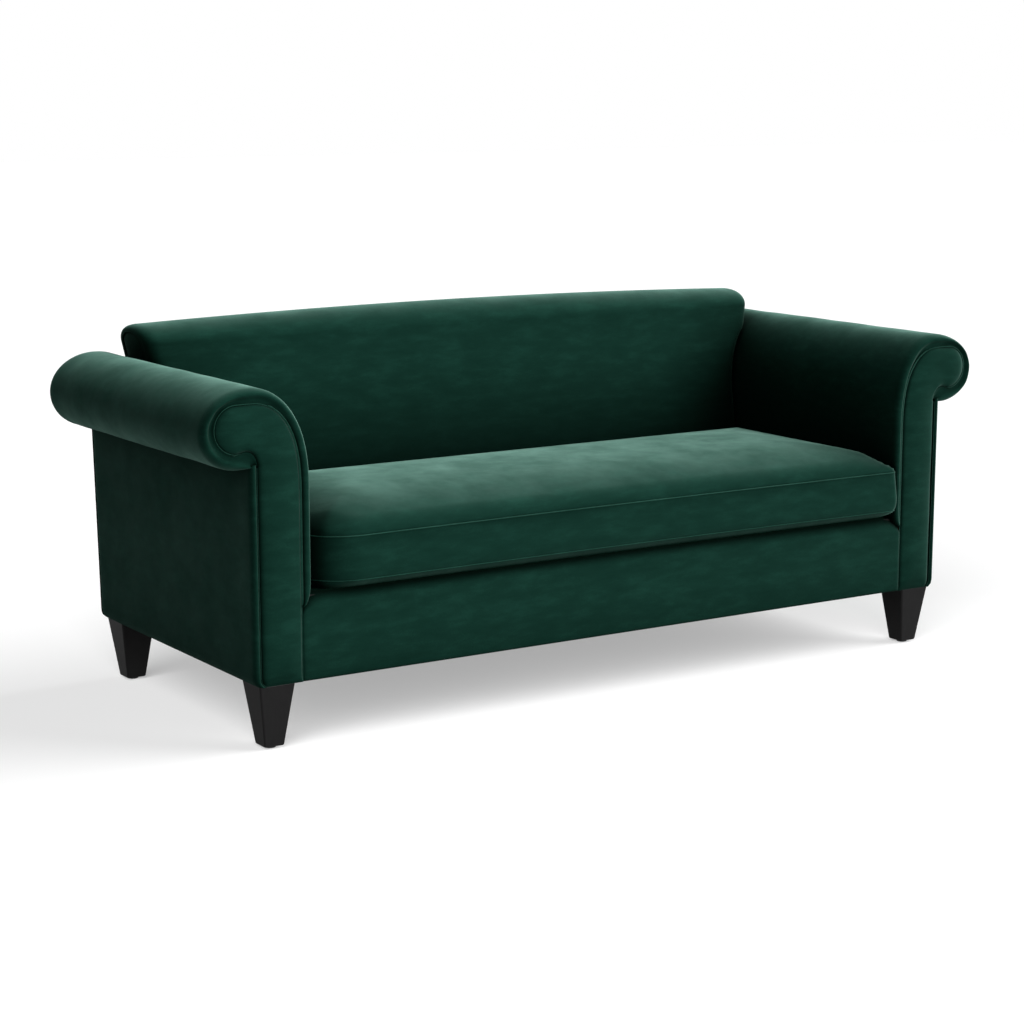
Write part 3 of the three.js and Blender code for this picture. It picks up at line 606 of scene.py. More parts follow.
@dataclass(frozen=True)
class BrightWire:
    """Zinc-plated or tempered steel, drawn or pressed: a bright, slightly scratched metal."""

    name: str
    colour: str
    roughness: float
    scratch: float = 0.0015  # width of a drawn line

    def material(self) -> bpy.types.Material:
        """Builds the metal.

        Returns:
            The finished material.
        """
        material, tree = blank_material(self.name)
        at = add_node(tree, "ShaderNodeTexCoord").outputs["Object"]
        lines = add_node(tree, "ShaderNodeTexNoise", inputs={
            "Vector": at, "Scale": 1.0 / self.scratch, "Detail": 3.0, "Roughness": 0.7})
        rough = add_node(tree, "ShaderNodeMapRange", inputs={
            "Value": lines.outputs["Fac"], "To Min": self.roughness - 0.1, "To Max": self.roughness + 0.12})
        bump = add_node(tree, "ShaderNodeBump", inputs={
            "Height": lines.outputs["Fac"], "Strength": 0.1, "Distance": 0.0002})
        shader = add_node(tree, "ShaderNodeBsdfPrincipled", inputs={
            "Base Color": linear(self.colour), "Metallic": 1.0, "Roughness": rough.outputs["Result"],
            "Normal": bump.outputs["Normal"]})
        add_node(tree, "ShaderNodeOutputMaterial", inputs={"Surface": shader.outputs["BSDF"]})
        return material


@dataclass(frozen=True)
class WovenCloth:
    """Plain woven or bonded cloth under the upholstery: matt, with its threads crossing."""

    name: str
    thread: str
    gap: str
    spacing: float  # distance between threads
    roughness: float = 0.9

    def material(self) -> bpy.types.Material:
        """Builds the cloth.

        Returns:
            The finished material.
        """
        material, tree = blank_material(self.name)
        at = add_node(tree, "ShaderNodeTexCoord").outputs["Object"]
        # A wave texture at scale 1 repeats every pi / 10 metres; over and under one thread takes two spacings.
        scale = math.pi / 10.0 / (2.0 * self.spacing)
        waves = [add_node(tree, "ShaderNodeTexWave", {"wave_type": "BANDS", "bands_direction": axis}, {
            "Vector": at, "Scale": scale, "Distortion": 1.2, "Detail": 1.0}) for axis in ("X", "Y")]
        weave = add_node(tree, "ShaderNodeMath", {"operation": "MAXIMUM"}, {
            0: waves[0].outputs["Fac"], 1: waves[1].outputs["Fac"]})
        colour = add_node(tree, "ShaderNodeValToRGB", inputs={"Fac": weave.outputs["Value"]}, stops=(
            (0.2, self.gap), (0.8, self.thread)))
        bump = add_node(tree, "ShaderNodeBump", inputs={
            "Height": weave.outputs["Value"], "Strength": 0.5, "Distance": 0.0005})
        shader = add_node(tree, "ShaderNodeBsdfPrincipled", inputs={
            "Base Color": colour.outputs["Color"], "Roughness": self.roughness,
            "Normal": bump.outputs["Normal"]})
        add_node(tree, "ShaderNodeOutputMaterial", inputs={"Surface": shader.outputs["BSDF"]})
        return material


@dataclass(frozen=True)
class MouldedNylon:
    """Black nylon, moulded: a dull plastic with a fine eroded texture."""

    name: str = "moulded_nylon"
    colour: str = "#15171a"
    mottle: str = "#202327"
    texture: float = 0.0012  # size of a pit, drawn about three times its real size so that it shows

    def material(self) -> bpy.types.Material:
        """Builds the plastic.

        Returns:
            The finished material.
        """
        material, tree = blank_material(self.name)
        at = add_node(tree, "ShaderNodeTexCoord").outputs["Object"]
        pits = add_node(tree, "ShaderNodeTexNoise", inputs={
            "Vector": at, "Scale": 1.0 / self.texture, "Detail": 2.0})
        colour = add_node(tree, "ShaderNodeValToRGB", inputs={"Fac": pits.outputs["Fac"]}, stops=(
            (0.35, self.colour), (0.7, self.mottle)))
        bump = add_node(tree, "ShaderNodeBump", inputs={
            "Height": pits.outputs["Fac"], "Strength": 0.3, "Distance": 0.0002})
        shader = add_node(tree, "ShaderNodeBsdfPrincipled", inputs={
            "Base Color": colour.outputs["Color"], "Roughness": 0.5, "IOR": 1.53,
            "Normal": bump.outputs["Normal"]})
        add_node(tree, "ShaderNodeOutputMaterial", inputs={"Surface": shader.outputs["BSDF"]})
        return material


# Sub-assemblies


@dataclass
class ScrollArm:
    """One arm: its cover with the padded lip, the facing, the seams round it and the outside arm."""

    side: Side
    front: float  # the frame's Y of the facings' foremost line
    inner: float  # inside face of the arm
    height: float
    overall: float  # half the width over both rolls
    roll: float = 0.082
    roll_set: float = 0.028
    roll_drop: float = 0.006
    roll_over: float = 0.029
    flare_height: float = 0.213
    flare_power: float = 2.3
    roll_rise: float = 0.005  # the underside of the roll is this much fuller than round
    notch_play: float = 0.0005  # the edge of the roll stays this far off the outside arm
    base: float = 0.14  # height from which the outer faces lean
    lean: float = 0.002
    belly: float = 0.005  # padding of the outside arm below the roll
    belly_rise: tuple[float, float] = (0.660, 0.630)  # heights where it starts and where it is full
    foot: float = 0.1403
    foot_round: float = 0.022
    cover_foot: float = 0.3216
    lip_foot: float = 0.2970  # the lip runs out here, beside the rounded end of the border
    lip_taper: float = 0.050
    lip_merge: tuple[float, float] = (0.020, 0.060)  # depths over which the narrowed lip widens to the cover
    foot_merge: tuple[float, float] = (0.020, 0.050)  # depths over which its foot rises to the cover's
    depth: float = 0.788
    rear_slope: float = 0.045
    rear_round: float = 0.0273
    rear_gap: float = 0.0043
    pitch: float = 0.006
    facing_set: float = 0.024  # seam of the facing inside the arm's line, up the inside
    facing_side: float = 0.0152  # facing's outer edge inside the outside arm
    curl_out: float = 0.0048  # the seam's circle lies this much further out and up than the roll
    curl_up: float = 0.0078
    curl_radius: float = 0.0502
    curl_turn: float = 95.0  # the circle runs on this far below its side, in degrees
    bend: float = 55.0  # the roll's angle beside which the seam leaves the circle
    turn_over: tuple[float, float] = (0.25, 0.95)  # shares of the flare over which the groove becomes the seam
    wave: float = 0.0013
    wave_size: tuple[float, float, float] = (0.16, 0.11, 0.16)
    pucker: float = 0.0017  # small gathers of the lip round the curl
    pucker_size: tuple[float, float, float] = (0.030, 0.3, 0.026)
    facing_depth: float = 0.0036
    facing_crown: float = 0.0075  # how far the padded middle stands out
    crown_reach: float = 0.045
    bulge: float = 0.0030  # fullness in the narrow part of the facing, below the curl
    bulge_set: tuple[float, float] = (0.030, 0.036)  # in and down from the middle of the roll
    bulge_width: float = 0.016
    facing_wave: float = 0.0009
    seam_end: int = 12  # the raised seam stops this many points before its line ends under the roll
    outside_top: float = 0.016  # the outside arm runs up this far behind the roll's underside
    outside_edge: float = 0.0202  # depth at which its rolled front edge ends
    outside_round: float = 0.010
    outside_hollow: float = 0.0010
    outside_wave: float = 0.0009
    welt_top: float = 0.010
    welt_set: float = 0.0142
    welt_depth: float = 0.0046
    welt_radius: float = 0.0014

    # A size up the inside of the arm and its change round the curl.
    seam_depth = (0.0066, -0.0003)
    seam_radius = (0.0011, -0.0002)
    cord_share = (0.90, 0.05)
    cord_depth = (0.0068, -0.0013)
    cord_radius = (0.0017, -0.0008)
    # Width and depth of the facing's rolled edge, each with its increase at the leg's outer edge and the curl.
    edge_width = (0.0070, 0.0060, 0.0130)
    edge_depth = (0.0065, 0.0022, 0.0010)
    rims = (0.0010, 0.0024, 0.0044, 0.0070, 0.0100)  # lines of points this far inside the facing's outline
    # The rolled front edge of the outside arm, as pairs of an inset and a depth.
    rolled_edge = ((0.0230, 0.0127), (0.0153, 0.0126), (0.0150, 0.0104), (0.0144, 0.0078), (0.0133, 0.0050),
                   (0.0116, 0.0027), (0.0094, 0.0013), (0.0070, 0.0013), (0.0047, 0.0029), (0.0027, 0.0058),
                   (0.0012, 0.0098), (0.0003, 0.0145), (0.0, 0.0200))
    # Sections across the front edge, from the seam at the facing out to the arm's surface, as pairs of a share
    # of the lip's width and a depth: down the inside of the arm, where a groove parts the lip from the facing,
    # and round the curl, where the lip is broad and soft and dips before it meets the facing at one seam.
    groove = ((1.05, 0.0140), (0.99, 0.0100), (0.94, 0.0092), (0.89, 0.0088), (0.845, 0.0078), (0.805, 0.0060),
              (0.76, 0.0040), (0.70, 0.0023), (0.61, 0.0010), (0.50, 0.0002), (0.39, 0.0002), (0.285, 0.0012),
              (0.19, 0.0032), (0.11, 0.0062), (0.05, 0.0098), (0.012, 0.0142), (0.0, 0.0190))
    seam = ((1.05, 0.0150), (1.0, 0.0088), (0.985, 0.0074), (0.955, 0.0072), (0.90, 0.0086), (0.82, 0.0101),
            (0.72, 0.0103), (0.61, 0.0088), (0.50, 0.0062), (0.40, 0.0044), (0.305, 0.0048), (0.22, 0.0072),
            (0.145, 0.0108), (0.085, 0.0150), (0.04, 0.0195), (0.01, 0.0245), (0.0, 0.0290))
    # The seam from the bottom of the curl to the outer edge of the leg, from the middle of the roll.
    nose = ((0.0046, -0.0408), (-0.0030, -0.0402), (-0.0110, -0.0376), (-0.0195, -0.0372), (-0.0275, -0.0402),
            (-0.0340, -0.0475), (-0.0385, -0.0575), (-0.0405, -0.0680))

    def __post_init__(self) -> None:
        """Works out the places that the other sizes give."""
        self.body = self.overall - self.roll - self.roll_over
        self.curl_x = self.overall - self.roll
        self.curl_z = self.height - self.roll_drop - self.roll
        self.flare_x = self.curl_x - self.roll_set
        self.flare_width = self.flare_x - self.inner
        self.flare_z = self.height - self.flare_height
        self.crest_set = self.height - self.curl_z - self.curl_up - self.curl_radius
        notch = self.outside(self.curl_z - self.roll) + self.notch_play
        self.notch_angle = -math.acos(float(notch - self.curl_x) / self.roll)

    def outside(self, z: np.ndarray | float) -> np.ndarray | float:
        """Outer face of the outside arm: padded low down, and rounded in at the foot.

        Args:
            z: Heights.

        Returns:
            The face's x at each height.
        """
        padded = self.belly * smooth(*self.belly_rise, z)
        low = np.clip(1.0 - (np.asarray(z, float) - self.foot) / self.foot_round, 0.0, 1.0)
        turned = 0.5 * self.foot_round * (1.0 - np.sqrt(1.0 - low ** 2))
        return self.body + self.lean * (z - self.base) / (self.curl_z - self.base) + padded - turned

    def rear(self, z: np.ndarray) -> np.ndarray:
        """Outer face of the outside back at a height."""
        return self.depth + self.rear_slope * (z - self.base)

    def flare_at(self, z: np.ndarray | float) -> np.ndarray | float:
        """Inside face of the arm at a height, out to the top of its flare."""
        rise = np.clip((z - self.flare_z) / self.flare_height, 0.0, 1.0)
        return self.flare_x - self.flare_width * (1.0 - rise ** self.flare_power) ** (1.0 / self.flare_power)

    def counts(self, start: float) -> tuple[int, int, int]:
        """Counts the steps of the arm's line.

        Args:
            start: The height at which the line starts.

        Returns:
            Numbers of steps for the straight, the flare and the curl.
        """
        straight = max(1, round((self.flare_z - start) / self.pitch))
        flare = round(math.pi / 2.0 * (self.flare_width + self.flare_height) / 2.0 / self.pitch)
        curl = round((math.pi / 2.0 - self.notch_angle) * (self.roll + self.roll_set / 3.0) / self.pitch)
        return straight, flare, curl

    def line(self, inset: np.ndarray | float, start: float) -> np.ndarray:
        """The arm's line seen from the front: up the inside, over the flare and round the roll to the notch.

        Args:
            inset: How far inside the surface, for the whole line or for each point.
            start: The height at which the line starts.

        Returns:
            Rows of x and z.
        """
        straight, flare, curl = self.counts(start)
        total = straight + flare + curl + 2
        inset = np.broadcast_to(np.asarray(inset, float), (total,))
        points = np.empty((total, 2))
        points[:straight, 1] = np.linspace(start, self.flare_z, straight, endpoint=False)
        points[:straight, 0] = self.inner + inset[:straight]
        angle = np.linspace(0.0, math.pi / 2.0, flare + 1)
        part = slice(straight, straight + flare + 1)
        power = 2.0 / self.flare_power
        level, upright = np.clip(np.cos(angle), 0, 1) ** power, np.sin(angle) ** power
        points[part, 0] = self.flare_x - (self.flare_width - inset[part]) * level
        points[part, 1] = self.flare_z + (self.flare_height - inset[part]) * upright
        angle = np.linspace(math.pi / 2.0, self.notch_angle, curl + 1)
        part = slice(straight + flare + 1, total)
        out = np.where(angle > 0.0, self.roll_set, 0.0)
        rise = np.where(angle > 0.0, self.roll_drop, -self.roll_rise)
        points[part, 0] = self.curl_x - out + (self.roll + out - inset[part]) * np.cos(angle)
        points[part, 1] = self.curl_z + (self.roll + rise - inset[part]) * np.sin(angle)
        return points

    def curl_share(self, start: float) -> np.ndarray:
        """Blends from the inside of the arm to its curl.

        Args:
            start: The height at which the arm's line starts.

        Returns:
            A weight for each point of the line, from 0 on the inside to 1 where the flare meets the roll.
        """
        straight, flare, curl = self.counts(start)
        share = np.concatenate([np.zeros(straight), np.linspace(0.0, 1.0, flare + 1), np.ones(curl + 1)])
        return smooth(*self.turn_over, share)

    def seam_line(self, start: float) -> np.ndarray:
        """The seam between the lip and the facing, point for point beside the arm's line.

        Args:
            start: The height at which it starts.

        Returns:
            Rows of x and z.
        """
        straight, flare, curl = self.counts(start)
        weight = self.curl_share(start)
        points = self.line(self.facing_set + (self.crest_set - self.facing_set) * weight, start)
        middle = np.array([self.curl_x + self.curl_out, self.curl_z + self.curl_up])
        above, below = (
            middle + self.curl_radius * np.column_stack([np.cos(turn), np.sin(turn)])
            for turn in np.radians([np.linspace(90.0, 0.0, 24), np.linspace(0.0, -self.curl_turn, 24)]))
        over = np.concatenate([[[self.flare_x, middle[1] + self.curl_radius]], above])
        nose = rounded(np.array([self.curl_x, self.curl_z]) + np.array(self.nose))
        angle = np.degrees(np.linspace(math.pi / 2.0, self.notch_angle, curl + 1))
        first, third = angle >= 0.0, angle < -self.bend
        second = ~first & ~third
        points[straight + flare + 1:] = np.concatenate([
            along(over, (90.0 - angle[first]) / 90.0), along(below, -angle[second] / self.bend),
            along(nose, (-self.bend - angle[third]) / (-self.bend - math.degrees(self.notch_angle)))])
        return points

    def mirrored(self, points: np.ndarray) -> np.ndarray:
        """Turns points of the right arm into this side's, in the frame."""
        return place(points * np.array([float(self.side.value), 1.0, 1.0]), self.front)

    def cover(self) -> bpy.types.Object:
        """Builds the velvet cover, from the seam at the facing over the roll to the rear edge.

        Returns:
            The cover.
        """
        weight = self.curl_share(self.lip_foot)
        leg = weight < 0.01  # the points up the inside of the arm
        surface, seam = self.line(0.0, self.lip_foot), self.seam_line(self.lip_foot)
        low = np.clip((surface[:, 1] - self.lip_foot) / self.lip_taper, 0.0, 1.0)
        breadth = np.where(leg, np.sqrt(1.0 - (1.0 - low) ** 2), 1.0)
        rows = []
        for (leg_share, leg_y), (curl_share, curl_y) in zip(self.groove, self.seam):
            share = leg_share + (curl_share - leg_share) * weight
            share = 1.0 - (1.0 - share) * breadth
            points = surface + (seam - surface) * share[:, None]
            rows.append(np.column_stack([points[:, 0], leg_y + (curl_y - leg_y) * weight, points[:, 1]]))
        start = rows[-1][:, 1]
        rear = self.rear(surface[:, 1]) - self.rear_gap - self.rear_round
        for share in np.linspace(0.0, 1.0, 60)[1:]:
            y = start + (rear - start) * share
            wide = breadth + (1.0 - breadth) * smooth(*self.lip_merge, y)
            x = seam[:, 0] + (surface[:, 0] - seam[:, 0]) * wide
            foot = self.lip_foot + (self.cover_foot - self.lip_foot) * smooth(*self.foot_merge, y)
            z = np.where(leg, np.maximum(surface[:, 1], foot), surface[:, 1])
            rows.append(np.column_stack([np.where(leg, x, surface[:, 0]), y, z]))
        for angle in np.linspace(0.0, math.pi / 2.0, 9)[1:]:
            points = self.line(self.rear_round * (1.0 - math.cos(angle)), self.lip_foot)
            y = self.rear(points[:, 1]) - self.rear_gap - self.rear_round * (1.0 - math.sin(angle))
            rows.append(np.column_stack([points[:, 0], y, np.maximum(points[:, 1], self.cover_foot)]))
            rows[-1][~leg, 2] = points[~leg, 1]
        grid = np.array(rows)
        dip = np.array([share * (1.0 - share) for share, _ in self.seam]).clip(0.0, 1.0)[:, None] * 4.0
        gathered = grid[:len(self.seam)]
        gathered[..., 1] += self.pucker * dip * weight * ripple(gathered, self.pucker_size, 5.0)
        step = 0.001
        shift = (self.line(-step, self.lip_foot) - surface) / step
        outward = np.column_stack([shift[:, 0], np.zeros(len(shift)), shift[:, 1]])
        body = smooth(0.012, 0.09, grid[..., 1]) * smooth(self.depth, self.depth - 0.08, grid[..., 1])
        waves = ripple(grid, self.wave_size, 3.1 + self.side.value)
        grid = grid + outward * (self.wave * waves * body)[..., None]
        return sheet(f"arm_{self.side.label}_cover", self.mirrored(grid), flip=self.side is Side.RIGHT)

    def facing_outline(self) -> np.ndarray:
        """The facing's outline seen from the front.

        Returns:
            Rows of x and z.
        """
        line = self.seam_line(self.foot)
        heights = np.linspace(line[-1, 1], self.foot, round((line[-1, 1] - self.foot) / self.pitch) + 1)[1:]
        outer = np.column_stack([self.outside(heights) - self.facing_side, heights])
        bottom = np.linspace(outer[-1], line[0], 16)[1:-1]
        outline = np.concatenate([line, outer, bottom])
        apart = np.linalg.norm(outline - np.roll(outline, 1, axis=0), axis=1)
        return outline[apart > STEP]

    def facing(self) -> bpy.types.Object:
        """Builds the facing: a J of velvet over a padded panel, with its edge rolled in all round.

        Returns:
            The facing.
        """
        outline = self.facing_outline()
        flat, faces, apart = filled(outline, 0.0075, [drawn_in(outline, step) for step in self.rims])
        # The outer edge of the leg is rolled in deeper than the rest, and the end of the curl more softly.
        outer = smooth(self.outside(0.5) - 0.050, self.outside(0.5) - 0.020, flat[:, 0])
        outer = outer * smooth(self.curl_z - 0.060, self.curl_z - 0.085, flat[:, 1])
        curl = smooth(self.flare_x - 0.010, self.curl_x + 0.020, flat[:, 0]) * smooth(
            self.curl_z - 0.055, self.curl_z - 0.020, flat[:, 1])
        width, depth = (a + b * outer + c * curl for a, b, c in (self.edge_width, self.edge_depth))
        near = 1.0 - np.clip(apart / width, 0.0, 1.0)
        edge = depth * (1.0 - np.sqrt(np.clip(1.0 - near ** 2, 0.0, 1.0)))
        edge = edge * smooth(self.foot - 0.004, self.foot + 0.012, flat[:, 1])
        away = flat - np.array([self.curl_x - self.bulge_set[0], self.curl_z - self.bulge_set[1]])
        bulge = np.exp(-(away[:, 0] ** 2 + away[:, 1] ** 2) / self.bulge_width ** 2)
        crown = 1.0 - (1.0 - np.clip(apart / self.crown_reach, 0.0, 1.0)) ** 2
        y = self.facing_depth + edge - self.facing_crown * crown - self.bulge * bulge
        points = np.column_stack([flat[:, 0], y, flat[:, 1]])
        points[:, 1] += self.facing_wave * ripple(points, (0.06, 0.06, 0.09), 8.0 + self.side.value)
        return mesh_object(f"arm_{self.side.label}_facing", self.mirrored(points), faces, outward=False,
                           flip=self.side is Side.LEFT)

    def facing_seam(self) -> bpy.types.Object:
        """Builds the fine raised seam between the lip and the facing.

        Returns:
            The seam.
        """
        path = self.seam_line(self.foot)
        weight = self.curl_share(self.foot)
        keep = np.arange(len(path)) < len(path) - self.seam_end
        keep[1:] &= np.linalg.norm(np.diff(path, axis=0), axis=1) > STEP
        path, weight = path[keep], weight[keep]
        depth, radius = (size + change * weight for size, change in (self.seam_depth, self.seam_radius))
        radius[-5:] *= np.array([0.9, 0.75, 0.6, 0.4, 0.2])
        return tube(f"arm_{self.side.label}_facing_seam",
                    self.mirrored(np.column_stack([path[:, 0], depth, path[:, 1]])), radius)

    def groove_cord(self) -> bpy.types.Object:
        """Builds the thin cord that lies in the groove down the inside of the arm.

        Returns:
            The cord.
        """
        start = self.cover_foot - 0.02
        surface, seam = self.line(0.0, start), self.seam_line(start)
        weight = self.curl_share(start)
        share, depth, radius = (size + change * weight for size, change in (
            self.cord_share, self.cord_depth, self.cord_radius))
        line = surface + (seam - surface) * share[:, None]
        keep = weight < 0.9
        path = np.column_stack([line[:, 0], depth, line[:, 1]])[keep]
        return tube(f"arm_{self.side.label}_groove_cord", self.mirrored(path), radius[keep])

    def outside_arm(self) -> bpy.types.Object:
        """Builds the outside arm with its rolled front edge.

        Returns:
            The outside arm.
        """
        heights = np.linspace(self.foot, self.curl_z - self.roll + self.outside_top, 66)
        face, rear = self.outside(heights), self.rear(heights) - self.rear_gap
        rows = [np.column_stack([face - inset, np.full_like(heights, y), heights])
                for inset, y in self.rolled_edge]
        for share in np.linspace(0.0, 1.0, 60)[1:]:
            y = self.outside_edge + (rear - self.outside_round - self.outside_edge) * share
            rows.append(np.column_stack([face, y, heights]))
        for angle in np.linspace(0.0, math.pi / 2.0, 6)[1:]:
            rows.append(np.column_stack([face - self.outside_round * (1.0 - math.cos(angle)),
                                         rear - self.outside_round * (1.0 - math.sin(angle)), heights]))
        grid = np.array(rows)
        inside = smooth(0.015, 0.10, grid[..., 1]) * smooth(self.depth, self.depth - 0.09, grid[..., 1])
        inside = inside * smooth(self.foot, self.foot + 0.03, grid[..., 2])
        waves = ripple(grid, (0.2, 0.16, 0.2), 5.0 + self.side.value)
        grid[..., 0] -= inside * (self.outside_hollow + self.outside_wave * waves)
        return sheet(f"arm_{self.side.label}_outside", self.mirrored(grid), flip=self.side is Side.LEFT)

    def welt(self) -> bpy.types.Object:
        """Builds the cord sewn along the front edge of the outside arm.

        Returns:
            The welt.
        """
        heights = np.linspace(self.foot, self.curl_z - self.roll + self.welt_top, 70)
        depth, radius = np.full(len(heights), self.welt_depth), np.full(len(heights), self.welt_radius)
        path = np.column_stack([self.outside(heights) - self.welt_set, depth, heights])
        return tube(f"arm_{self.side.label}_welt", self.mirrored(path), radius)

    def build(self, velvet: bpy.types.Material, seam_highlight_velvet: bpy.types.Material) -> None:
        """Builds the arm's pieces and dresses them.

        Args:
            velvet: The cover's material.
            seam_highlight_velvet: The material of its seams, the velvet painted paler as a painted highlight.
        """
        name = self.side.label
        cover, facing, outside = self.cover(), self.facing(), self.outside_arm()
        seam, cord, welt = self.facing_seam(), self.groove_cord(), self.welt()
        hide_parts(f"arm_cover_{name}", f"arm_padding_{name}")
        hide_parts(f"arm_facing_{name}")
        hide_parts(f"outside_arm_{name}")
        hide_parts(f"facing_welt_{name}")
        for piece in (cover, facing, outside, welt):
            dress(piece, velvet)
        for piece in (seam, cord):
            dress(piece, seam_highlight_velvet)


def dress(piece: bpy.types.Object, material: bpy.types.Material, body: str = "sofa_frame") -> None:
    """Gives a piece its material and the body that it rides on.

    Args:
        piece: The piece.
        material: Its material.
        body: The CAD body that it moves with.
    """
    piece.data.materials.clear()
    piece.data.materials.append(material)
    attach(piece, body)
    log.info("%s: %d faces, rides on %s", piece.name, len(piece.data.polygons), body)


@dataclass
class TightBack:
    """The fixed back: inside cover over the crest, its two ends and the outside back."""

    arm: ScrollArm
    height: float = 0.832
    shoulder: float = 0.775
    crest_drop: float = 0.014
    thickness: float = 0.168
    seat_depth: float = 0.600
    seat_height: float = 0.456
    half: float = 0.851
    waist: float = 0.840
    end_round: float = 0.035
    side_play: float = 0.001
    foot: float = 0.3183
    tack: float = 0.030
    end_foot: float = 0.640  # the ends of the cover run down to here behind the arms
    end_power: float = 0.8  # below 1, the turn at each end is fuller than round
    wave: float = 0.0016
    wave_size: tuple[float, float, float] = (0.34, 0.2, 0.13)
    wave_ends: tuple[float, float] = (0.84, 0.70)  # the waves fade in between these, from each end
    panel_set: float = 0.004  # the end's panel lies this far outside the end of the round
    panel_sink: float = 0.0012
    panel_crown: float = 0.0055
    seam_set: float = 0.0035
    seam_sink: float = 0.0010
    seam_radius: float = 0.0016
    outside_gap: float = 0.0003
    outside_sink: float = 0.0008
    outside_wave: float = 0.0012
    under_roll: float = 0.012  # the outside back's sides stop this far below the rolls
    tuck: float = 0.004  # its top edge goes up this far behind the cover's
    turn_in: float = 0.0042  # how deep its edges are turned in
    turn_reach: float = 0.003

    def __post_init__(self) -> None:
        """Works out the height at which the back comes free of the arms."""
        arm = self.arm
        left = 1.0 - ((arm.flare_x - self.waist) / arm.flare_width) ** arm.flare_power
        self.on_arm = arm.flare_z + arm.flare_height * left ** (1.0 / arm.flare_power)

    def face(self, z: np.ndarray | float) -> np.ndarray | float:
        """Front face of the back at a height."""
        top = self.arm.rear(self.shoulder) - self.thickness
        return self.seat_depth + (top - self.seat_depth) * (z - self.seat_height) / (
            self.shoulder - self.seat_height)

    def end(self, z: np.ndarray) -> np.ndarray:
        """Half width of the back: along the arms, then leaning out free of them.

        Args:
            z: Heights.

        Returns:
            The half width at each height.
        """
        arm = self.arm
        beside = arm.flare_at(z) - self.side_play
        slope = (self.half - self.waist) / (self.shoulder - self.on_arm)
        return np.minimum(beside, self.half - slope * (self.shoulder - z))

    def line(self, inset: float, crest: float, tack: float) -> np.ndarray:
        """The back's line seen from the side: up the front, over the crest and down behind the shoulder.

        Args:
            inset: How far inside the surface.
            crest: Height of the crest here.
            tack: How far it runs down behind the shoulder.

        Returns:
            Rows of y and z.
        """
        heights = np.linspace(self.foot, self.shoulder, 42, endpoint=False)
        up = np.column_stack([self.face(heights) + inset, heights])
        front, rear = self.face(self.shoulder), self.arm.rear(np.array(self.shoulder))
        half = (rear - front) / 2.0
        rise = (crest - self.shoulder) * (1.0 - inset / half)
        angle = np.linspace(math.pi, 0.0, 33)
        over = np.column_stack([front + half + (half - inset) * np.cos(angle),
                                self.shoulder + rise * np.sin(angle)])
        heights = np.linspace(self.shoulder, self.shoulder - tack, 14)[1:]
        down = np.column_stack([self.arm.rear(heights) - inset, heights])
        return np.concatenate([up, over, down])

    def cover(self) -> bpy.types.Object:
        """Builds the inside back's cover, drawn in round each end.

        Returns:
            The cover.
        """
        turn = np.linspace(math.pi / 2.0, 0.0, 12)
        out = self.end_round * np.sin(turn) ** self.end_power
        inset = self.end_round * (1.0 - np.clip(np.cos(turn), 0.0, 1.0) ** self.end_power)
        stations = [(-1, a, b) for a, b in zip(out[:-1], inset[:-1])]
        stations += [(share, 0.0, 0.0) for share in np.linspace(-0.9999, 0.9999, 150)]
        stations += [(1, a, b) for a, b in zip(out[-2::-1], inset[-2::-1])]
        columns = []
        for share, out, inset in stations:
            crest = self.height - self.crest_drop * share ** 2
            turned = (out / self.end_round) ** 2
            line = self.line(inset, crest, self.tack + turned * (self.shoulder - self.tack - self.end_foot))
            half = self.end(line[:, 1]) - self.end_round
            x = math.copysign(1.0, share) * (half * abs(share) + out) if out else half * share
            columns.append(np.column_stack([x, line[:, 0], line[:, 1]]))
        grid = np.array(columns)
        waves = ripple(grid, self.wave_size, 11.0)
        middle = smooth(*self.wave_ends, np.abs(grid[..., 0]))
        grid[..., 1] += self.wave * waves * middle * smooth(self.height, self.shoulder, grid[..., 2])
        return sheet("inside_back", place(grid, self.arm.front))

    def end_line(self, out: float) -> np.ndarray:
        """The back's line round an end, above the arms, a little outside the end of the round."""
        line = self.line(self.end_round - out, self.height - self.crest_drop, self.tack)
        return line[line[:, 1] > self.end_foot]

    def end_panel(self, side: Side) -> bpy.types.Object:
        """Builds the small panel that closes an end of the back above the arm.

        Args:
            side: Which end.

        Returns:
            The panel.
        """
        line = self.end_line(self.panel_set)
        low = np.linspace(line[-1], [line[-1, 0], line[0, 1]], 12)[1:]
        across = np.linspace(low[-1], line[0], 14)[1:-1]
        outline = np.concatenate([line, low, across])
        flat, faces, apart = filled(outline, 0.009, [])
        turned = self.turn_reach * np.exp(-apart / self.turn_reach)
        x = self.end(flat[:, 1]) - turned + self.panel_crown * smooth(0.0, 0.045, apart)
        points = np.column_stack([side.value * (x - self.panel_sink), flat[:, 0], flat[:, 1]])
        return mesh_object(f"back_end_panel_{side.label}", place(points, self.arm.front), faces, outward=False,
                           flip=side is Side.LEFT)

    def end_seam(self, side: Side) -> bpy.types.Object:
        """Builds the seam round an end's panel.

        Args:
            side: Which end.

        Returns:
            The seam.
        """
        line = self.end_line(self.seam_set)
        path = np.column_stack([side.value * (self.end(line[:, 1]) - self.seam_sink), line])
        radius = np.full(len(path), self.seam_radius)
        return tube(f"back_end_seam_{side.label}", place(path, self.arm.front), radius)

    def outside_outline(self, trim: float) -> np.ndarray:
        """The outside back's outline seen from behind.

        Args:
            trim: How far it is drawn in from its full size.

        Returns:
            Rows of x and z.
        """
        arm = self.arm
        rows = np.linspace(arm.foot + trim, arm.curl_z - arm.roll - self.under_roll + trim, 62)
        side = np.column_stack([arm.outside(rows) - self.outside_gap - trim, rows])
